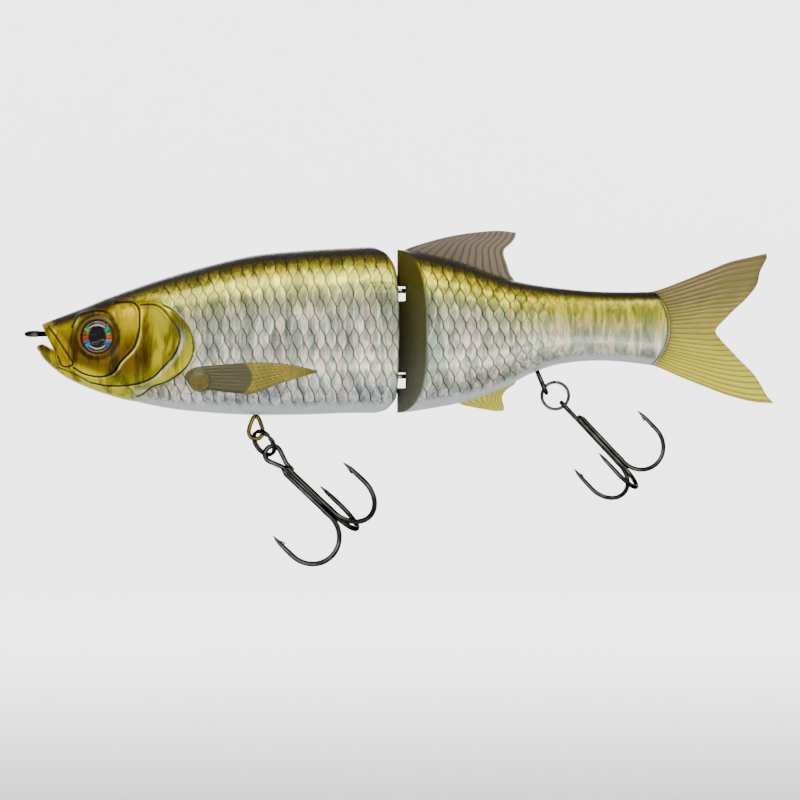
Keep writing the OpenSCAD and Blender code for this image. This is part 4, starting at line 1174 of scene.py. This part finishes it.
def makePectoralPlastic():
    # opaque olive near the root, clear gold with broken dark rays beyond it
    material, tree, shader = newMaterial("pectoralPlastic")
    coords = add(tree, "TexCoord")
    lines = useGroup(tree, finRays, {"UV": coords.outputs["UV"], "Rays": float(fins["pectoral"]["rays"])})
    grain = useGroup(tree, foilGrain, {"Vector": coords.outputs["Object"]})
    bow = calc(tree, "MULTIPLY", calc(tree, "MULTIPLY", lines.outputs["Across"],
                                  calc(tree, "SUBTRACT", 1.0, lines.outputs["Across"])), 0.26)
    outer = rescale(tree, calc(tree, "SUBTRACT", lines.outputs["Along"], bow), 0.44, 0.46)
    plain = linear(140, 128, 26)
    gold = mixColour(tree, 0.6, plain, mixColour(tree, 1.0, plain, grain.outputs["Tint"], "MULTIPLY"))
    base = mixColour(tree, outer, linear(68, 62, 14), gold)
    furrow = rescale(tree, lines.outputs["Ridge"], 0.5, 1.0)
    broken = calc(tree, "MAXIMUM", calc(tree, "SUBTRACT", 1.0, outer), lines.outputs["Joint"])
    dash = calc(tree, "MULTIPLY", furrow, broken)
    base = mixColour(tree, calc(tree, "MULTIPLY", dash, 0.75), base, linear(46, 40, 10))
    away = calc(tree, "PINGPONG", lines.outputs["Across"], 0.5)
    rim = calc(tree, "MAXIMUM", rescale(tree, away, 0.05, 0.0),
               rescale(tree, lines.outputs["Along"], 0.985, 1.0))
    base = mixColour(tree, calc(tree, "MULTIPLY", rim, 0.55), base, linear(48, 44, 22))
    bump = add(tree, "Bump", {"Height": calc(tree, "SUBTRACT", 1.0, furrow), "Strength": 0.4,
                              "Distance": 0.0001})
    setShader(tree, shader, {"Base Color": base, "Roughness": 0.35, "Coat Weight": 0.3, "Coat Roughness": 0.1,
                             "Specular IOR Level": 0.35, "Metallic": calc(tree, "MULTIPLY", outer, 0.3),
                             "Normal": bump.outputs[0]})
    return material


pectoralPlastic = makePectoralPlastic()


def makePadPlastic():
    material, tree, shader = newMaterial("padPlastic")
    cloud = add(tree, "TexNoise", {"Vector": add(tree, "TexCoord").outputs["Object"], "Scale": 700.0,
                                   "Detail": 3.0})
    base = rampOf(tree, cloud.outputs[0], [(0.3, linear(76, 70, 26)), (0.7, linear(98, 90, 40))])
    setShader(tree, shader, {"Base Color": base, "Roughness": 0.35, "Coat Weight": 0.3,
                             "Specular IOR Level": 0.35})
    return material


padPlastic = makePadPlastic()

tailMesh = finMesh("tail_fin", fins["tail"])
placeCoords(tailMesh, coordsOf(tailMesh) * mm)
tailFin = finishPiece(tailMesh, "tail_fin", None, tailPlastic, ["tail_root", "tail_blade"])
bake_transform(tailFin)
for which, plastic, slotName in (("dorsal", dorsalPlastic, "dorsal_plastic"),
                                 ("anal", analPlastic, "soft_tail")):
    mesh = finMesh(which + "_fin_ribbed", fins[which])
    placeCoords(mesh, coordsOf(mesh) * mm)
    finishPiece(mesh, which + "_fin_ribbed", "rear_body", plastic, [which + "_fin"])

pectoralPlace = {"x": 37, "shift": 0.6, "y": 10.15 + 0.06 + 0.75, "angle": 2.3, "pad": (40.2, -11.3, 2.66)}
for side, sign in (("left", -1), ("right", 1)):
    mesh = finMesh("pectoral_fin_ribbed_" + side, fins["pectoral"])
    bm = bmesh.new()
    bm.from_mesh(mesh)
    turn = (Matrix.Translation((pectoralPlace["x"] + pectoralPlace["shift"], pectoralPlace["y"], 0))
            @ Matrix.Rotation(math.radians(pectoralPlace["angle"]), 4, "Z")
            @ Matrix.Translation((-pectoralPlace["x"], 0, 0)))
    bmesh.ops.transform(bm, matrix=Matrix.Scale(sign, 4, (0, 1, 0)) @ turn, verts=bm.verts)
    if sign < 0:
        bmesh.ops.reverse_faces(bm, faces=bm.faces)
    bmesh.ops.scale(bm, vec=(mm,) * 3, verts=bm.verts)
    bm.to_mesh(mesh)
    bm.free()
    finishPiece(mesh, "pectoral_fin_ribbed_" + side, "front_body", pectoralPlastic,
                ["pectoral_fin_" + side])
    padX, padZ, padRadius = pectoralPlace["pad"]
    bm = bmesh.new()
    turnProfile(bm, [(0, 0.26), (padRadius - 0.9, 0.22), (padRadius - 0.45, 0.3), (padRadius - 0.12, 0.26),
                     (padRadius, 0.1), (padRadius, -0.5), (0, -0.5)], 48)
    place = (Matrix.Scale(sign, 4, (0, 1, 0)) @ turn @ Matrix.Translation((padX, 0.5, padZ))
             @ Matrix.Rotation(math.radians(-90), 4, "X"))
    makePiece(bm, "pectoral_pad_" + side, "front_body", padPlastic, (), place)
print("fins made")


# ---- eyes ----

eyes = {"radius": 4.2, "rise": 1.2, "yaw": 11, "face": 7.35, "depth": 2.1}


def makeIris():
    material, tree, shader = newMaterial("printedIris")
    coords = add(tree, "TexCoord")
    parts = add(tree, "SeparateXYZ", {0: coords.outputs["UV"]})
    u, v = parts.outputs[0], parts.outputs[1]
    radius = calc(tree, "SQRT", calc(tree, "MULTIPLY_ADD", u, u, calc(tree, "MULTIPLY", v, v)))
    angle = calc(tree, "MULTIPLY_ADD", calc(tree, "ARCTAN2", v, u), 0.5 / math.pi, 0.5)
    around = add(tree, "CombineXYZ", {0: calc(tree, "MULTIPLY", angle, 90.0),
                                      1: calc(tree, "MULTIPLY", radius, 2.0)})
    streak = add(tree, "TexNoise", {"Vector": around.outputs[0], "Scale": 1.0, "Detail": 3.0})
    shifted = calc(tree, "MULTIPLY_ADD", calc(tree, "SUBTRACT", streak.outputs[0], 0.5), 0.05, angle)
    hues = rampOf(tree, shifted, [
        (0.0, linear(206, 104, 44)), (0.035, linear(190, 84, 40)), (0.07, linear(44, 130, 190)),
        (0.18, linear(60, 130, 150)), (0.25, linear(96, 104, 104)), (0.33, linear(70, 110, 130)),
        (0.43, linear(50, 140, 196)), (0.47, linear(206, 104, 48)), (0.52, linear(210, 110, 52)),
        (0.56, linear(60, 176, 140)), (0.75, linear(90, 96, 84)), (0.88, linear(70, 170, 120)),
        (0.95, linear(160, 150, 60)), (1.0, linear(214, 92, 40))])
    dim = rescale(tree, streak.outputs[0], 0.35, 0.68, 0.05, 0.8)
    hues = dimBy(tree, hues, dim)
    upright = calc(tree, "DIVIDE", calc(tree, "ABSOLUTE", v), radius)
    poles = rescale(tree, upright, 0.66, 0.82)

    def band(at, wide):
        return rescale(tree, calc(tree, "ABSOLUTE", calc(tree, "SUBTRACT", radius, at)), wide, wide * 0.5)

    toned = mixColour(tree, rescale(tree, radius, 0.80, 0.90), hues, linear(12, 10, 6))
    toned = mixColour(tree, poles, toned, linear(24, 21, 16))
    # painted reflections: a silver arc and a dimmer brown arc at the top and bottom, standing in for light in
    # the lens dome
    toned = mixColour(tree, calc(tree, "MULTIPLY", poles, band(0.66, 0.05)), toned, linear(150, 152, 148))
    toned = mixColour(tree, calc(tree, "MULTIPLY", poles, band(0.83, 0.04)), toned, linear(112, 98, 84))
    toned = mixColour(tree, band(0.96, 0.025), toned, linear(66, 46, 18))
    pupil = rescale(tree, radius, 0.52, 0.495)
    setShader(tree, shader, {"Base Color": mixColour(tree, pupil, toned, (0.001, 0.001, 0.001, 1)),
                             "Roughness": 0.4, "Specular IOR Level": 0.04})
    return material


def makeLens():
    material, tree, shader = newMaterial("clearLens")
    noise = add(tree, "TexNoise", {"Vector": add(tree, "TexCoord").outputs["Object"], "Scale": 300.0})
    gloss = rescale(tree, noise.outputs[0], 0.3, 0.8, 0.0, 0.03)
    setShader(tree, shader, {"Base Color": (1, 1, 1, 1), "Transmission Weight": 1.0, "IOR": 1.22,
                             "Metallic": 0.0, "Roughness": gloss})
    clear = add(tree, "BsdfTransparent", {0: (1, 1, 1, 1)})
    shadow = add(tree, "MixShader", {0: add(tree, "LightPath").outputs["Is Shadow Ray"], 1: shader.outputs[0],
                                     2: clear.outputs[0]})
    tree.links.new(shadow.outputs[0], tree.nodes["Material Output"].inputs["Surface"])
    return material


def makeRimGold():
    material, tree, shader = newMaterial("rimGold")
    coords = add(tree, "TexCoord")
    grain = useGroup(tree, foilGrain, {"Vector": coords.outputs["Object"]})
    tint = mixColour(tree, 1.0, linear(110, 88, 26), grain.outputs["Tint"], "MULTIPLY")
    setShader(tree, shader, {"Base Color": mixColour(tree, 0.5, linear(110, 88, 26), tint), "Metallic": 0.4,
                             "Roughness": 0.3, "Coat Weight": 0.5, "Coat Roughness": 0.06})
    return material


iris, lens, rimGold = makeIris(), makeLens(), makeRimGold()
eyeX, eyeZ = head["eye"][0], head["eye"][2]
for side, sign in (("left", -1), ("right", 1)):
    place = (Matrix.Scale(sign, 4, (0, 1, 0)) @ Matrix.Translation((eyeX, eyes["face"], eyeZ))
             @ Matrix.Rotation(math.radians(eyes["yaw"]), 4, "Z")
             @ Matrix.Rotation(math.radians(-90), 4, "X"))
    radius, depth = eyes["radius"], eyes["depth"]
    bm = bmesh.new()
    turnProfile(bm, [(0, -0.30), (1.5, -0.31), (radius - 0.3, -0.34), (radius, -0.45),
                     (radius, -depth + 0.1), (0, -depth + 0.1)])
    disc = makePiece(bm, "eye_disc_printed_" + side, "front_body", iris, ["eye_disc_" + side], place)
    at = coordsOf(disc.data) / mm
    giveUv(disc.data, np.stack([(at[:, 0] - eyeX) / radius / math.cos(math.radians(eyes["yaw"])),
                                (at[:, 2] - eyeZ) / radius], 1))
    dome = (radius**2 + eyes["rise"] ** 2) / (2 * eyes["rise"])
    bm = bmesh.new()
    arch = [(r, eyes["rise"] - dome + math.sqrt(dome**2 - r**2)) for r in np.linspace(0, radius, 17)]
    turnProfile(bm, arch + [(radius, -0.26), (0, -0.26)])
    makePiece(bm, "eye_lens_dome_" + side, "front_body", lens, ["eye_lens_" + side], place)
    bm = bmesh.new()
    turnProfile(bm, [(radius + 0.05, -0.9), (radius + 0.05, 0.05), (radius + 0.16, 0.2),
                     (radius + 0.34, 0.16), (radius + 0.62, -0.15), (radius + 0.7, -0.9),
                     (radius + 0.05, -0.9)])
    makePiece(bm, "eye_socket_rim_" + side, "front_body", rimGold, (), place)
print("eyes made")


# ---- CAD pieces that show as they are ----

shownAsMade = {"hinge_pin": brightWire, "tail_pin": brightWire, "front_swivel_barrel": bronzeNickel,
               "rear_swivel_barrel": bronzeNickel, "nose_ballast": dullLead, "chest_ballast": dullLead,
               "belly_ballast": dullLead, "rear_ballast": dullLead}
for name, material in shownAsMade.items():
    node = frame["nodes"][name]
    node.data.materials.clear()
    node.data.materials.append(material)


# ---- floor, light and camera ----

studio = {"floor": -0.24, "reach": 2.6, "wall": 2.4, "lens": 120.0, "sensor": 36,
          "view": (sideView["x"] * mm, sideView["z"] * mm), "width": 0.1936, "sky": 0.26}
# [place, target or none for the lure, size, watts]
lights = {
    "keyLight": ((-0.1, -0.75, 0.8), None, (1.0, 0.5), 10),
    "lowFill": ((0.15, -0.8, -0.16), None, (0.9, 0.12), 2.0),
    "wallLeft": ((-0.7, 1.6, 1.0), (-0.2, 2.9, -0.1), (0.5, 0.5), 58),
    "wallRight": ((0.9, 1.6, 1.0), (0.4, 2.9, -0.1), (0.5, 0.5), 58),
}


def makeBackdrop():
    material, tree, shader = newMaterial("paleFloor")
    grain = add(tree, "TexNoise", {"Vector": add(tree, "TexCoord").outputs["Object"], "Scale": 900.0})
    pale = rampOf(tree, grain.outputs[0], [(0.4, (0.86, 0.86, 0.855, 1)), (0.6, (0.88, 0.88, 0.875, 1))])
    setShader(tree, shader, {"Base Color": pale, "Roughness": 0.9})
    bm = bmesh.new()
    reach, wall = studio["reach"], studio["wall"]
    curve = [(reach + 0.5 * math.sin(t), studio["floor"] + 0.5 - 0.5 * math.cos(t))
             for t in np.linspace(0, math.pi / 2, 9)]
    turnProfile(bm, [(0, studio["floor"]), (1.2, studio["floor"])] + curve + [(reach + 0.5, wall)], 72)
    mesh = bpy.data.meshes.new("floor")
    bmesh.ops.recalc_face_normals(bm, faces=bm.faces)
    bmesh.ops.reverse_faces(bm, faces=bm.faces)
    bm.to_mesh(mesh)
    bm.free()
    for polygon in mesh.polygons:
        polygon.use_smooth = True
    floor = bpy.data.objects.new("floor", mesh)
    bpy.context.scene.collection.objects.link(floor)
    mesh.materials.append(material)


def addArea(name, at, target, size, power):
    lamp = bpy.data.lights.new(name, "AREA")
    lamp.shape = "RECTANGLE"
    lamp.size, lamp.size_y = size
    lamp.energy = power
    holder = bpy.data.objects.new(name, lamp)
    holder.location = at
    holder.rotation_euler = (Vector(target) - Vector(at)).to_track_quat("-Z", "Y").to_euler()
    bpy.context.scene.collection.objects.link(holder)


makeBackdrop()
world = bpy.data.worlds.new("studio")
world.use_nodes = True
world.node_tree.nodes["Background"].inputs[0].default_value = (1, 1, 1, 1)
world.node_tree.nodes["Background"].inputs[1].default_value = studio["sky"]
bpy.context.scene.world = world
centre = (studio["view"][0], 0, studio["view"][1])
for name, (at, target, size, power) in lights.items():
    addArea(name, at, target or centre, size, power)

camera = bpy.data.cameras.new("camera")
camera.lens = studio["lens"]
camera.sensor_width = studio["sensor"]
camera.clip_start = 0.01
holder = bpy.data.objects.new("camera", camera)
holder.location = (studio["view"][0], -studio["width"] * studio["lens"] / studio["sensor"], studio["view"][1])
holder.rotation_euler = (math.pi / 2, 0, 0)
bpy.context.scene.collection.objects.link(holder)
bpy.context.scene.camera = holder
print("studio made")
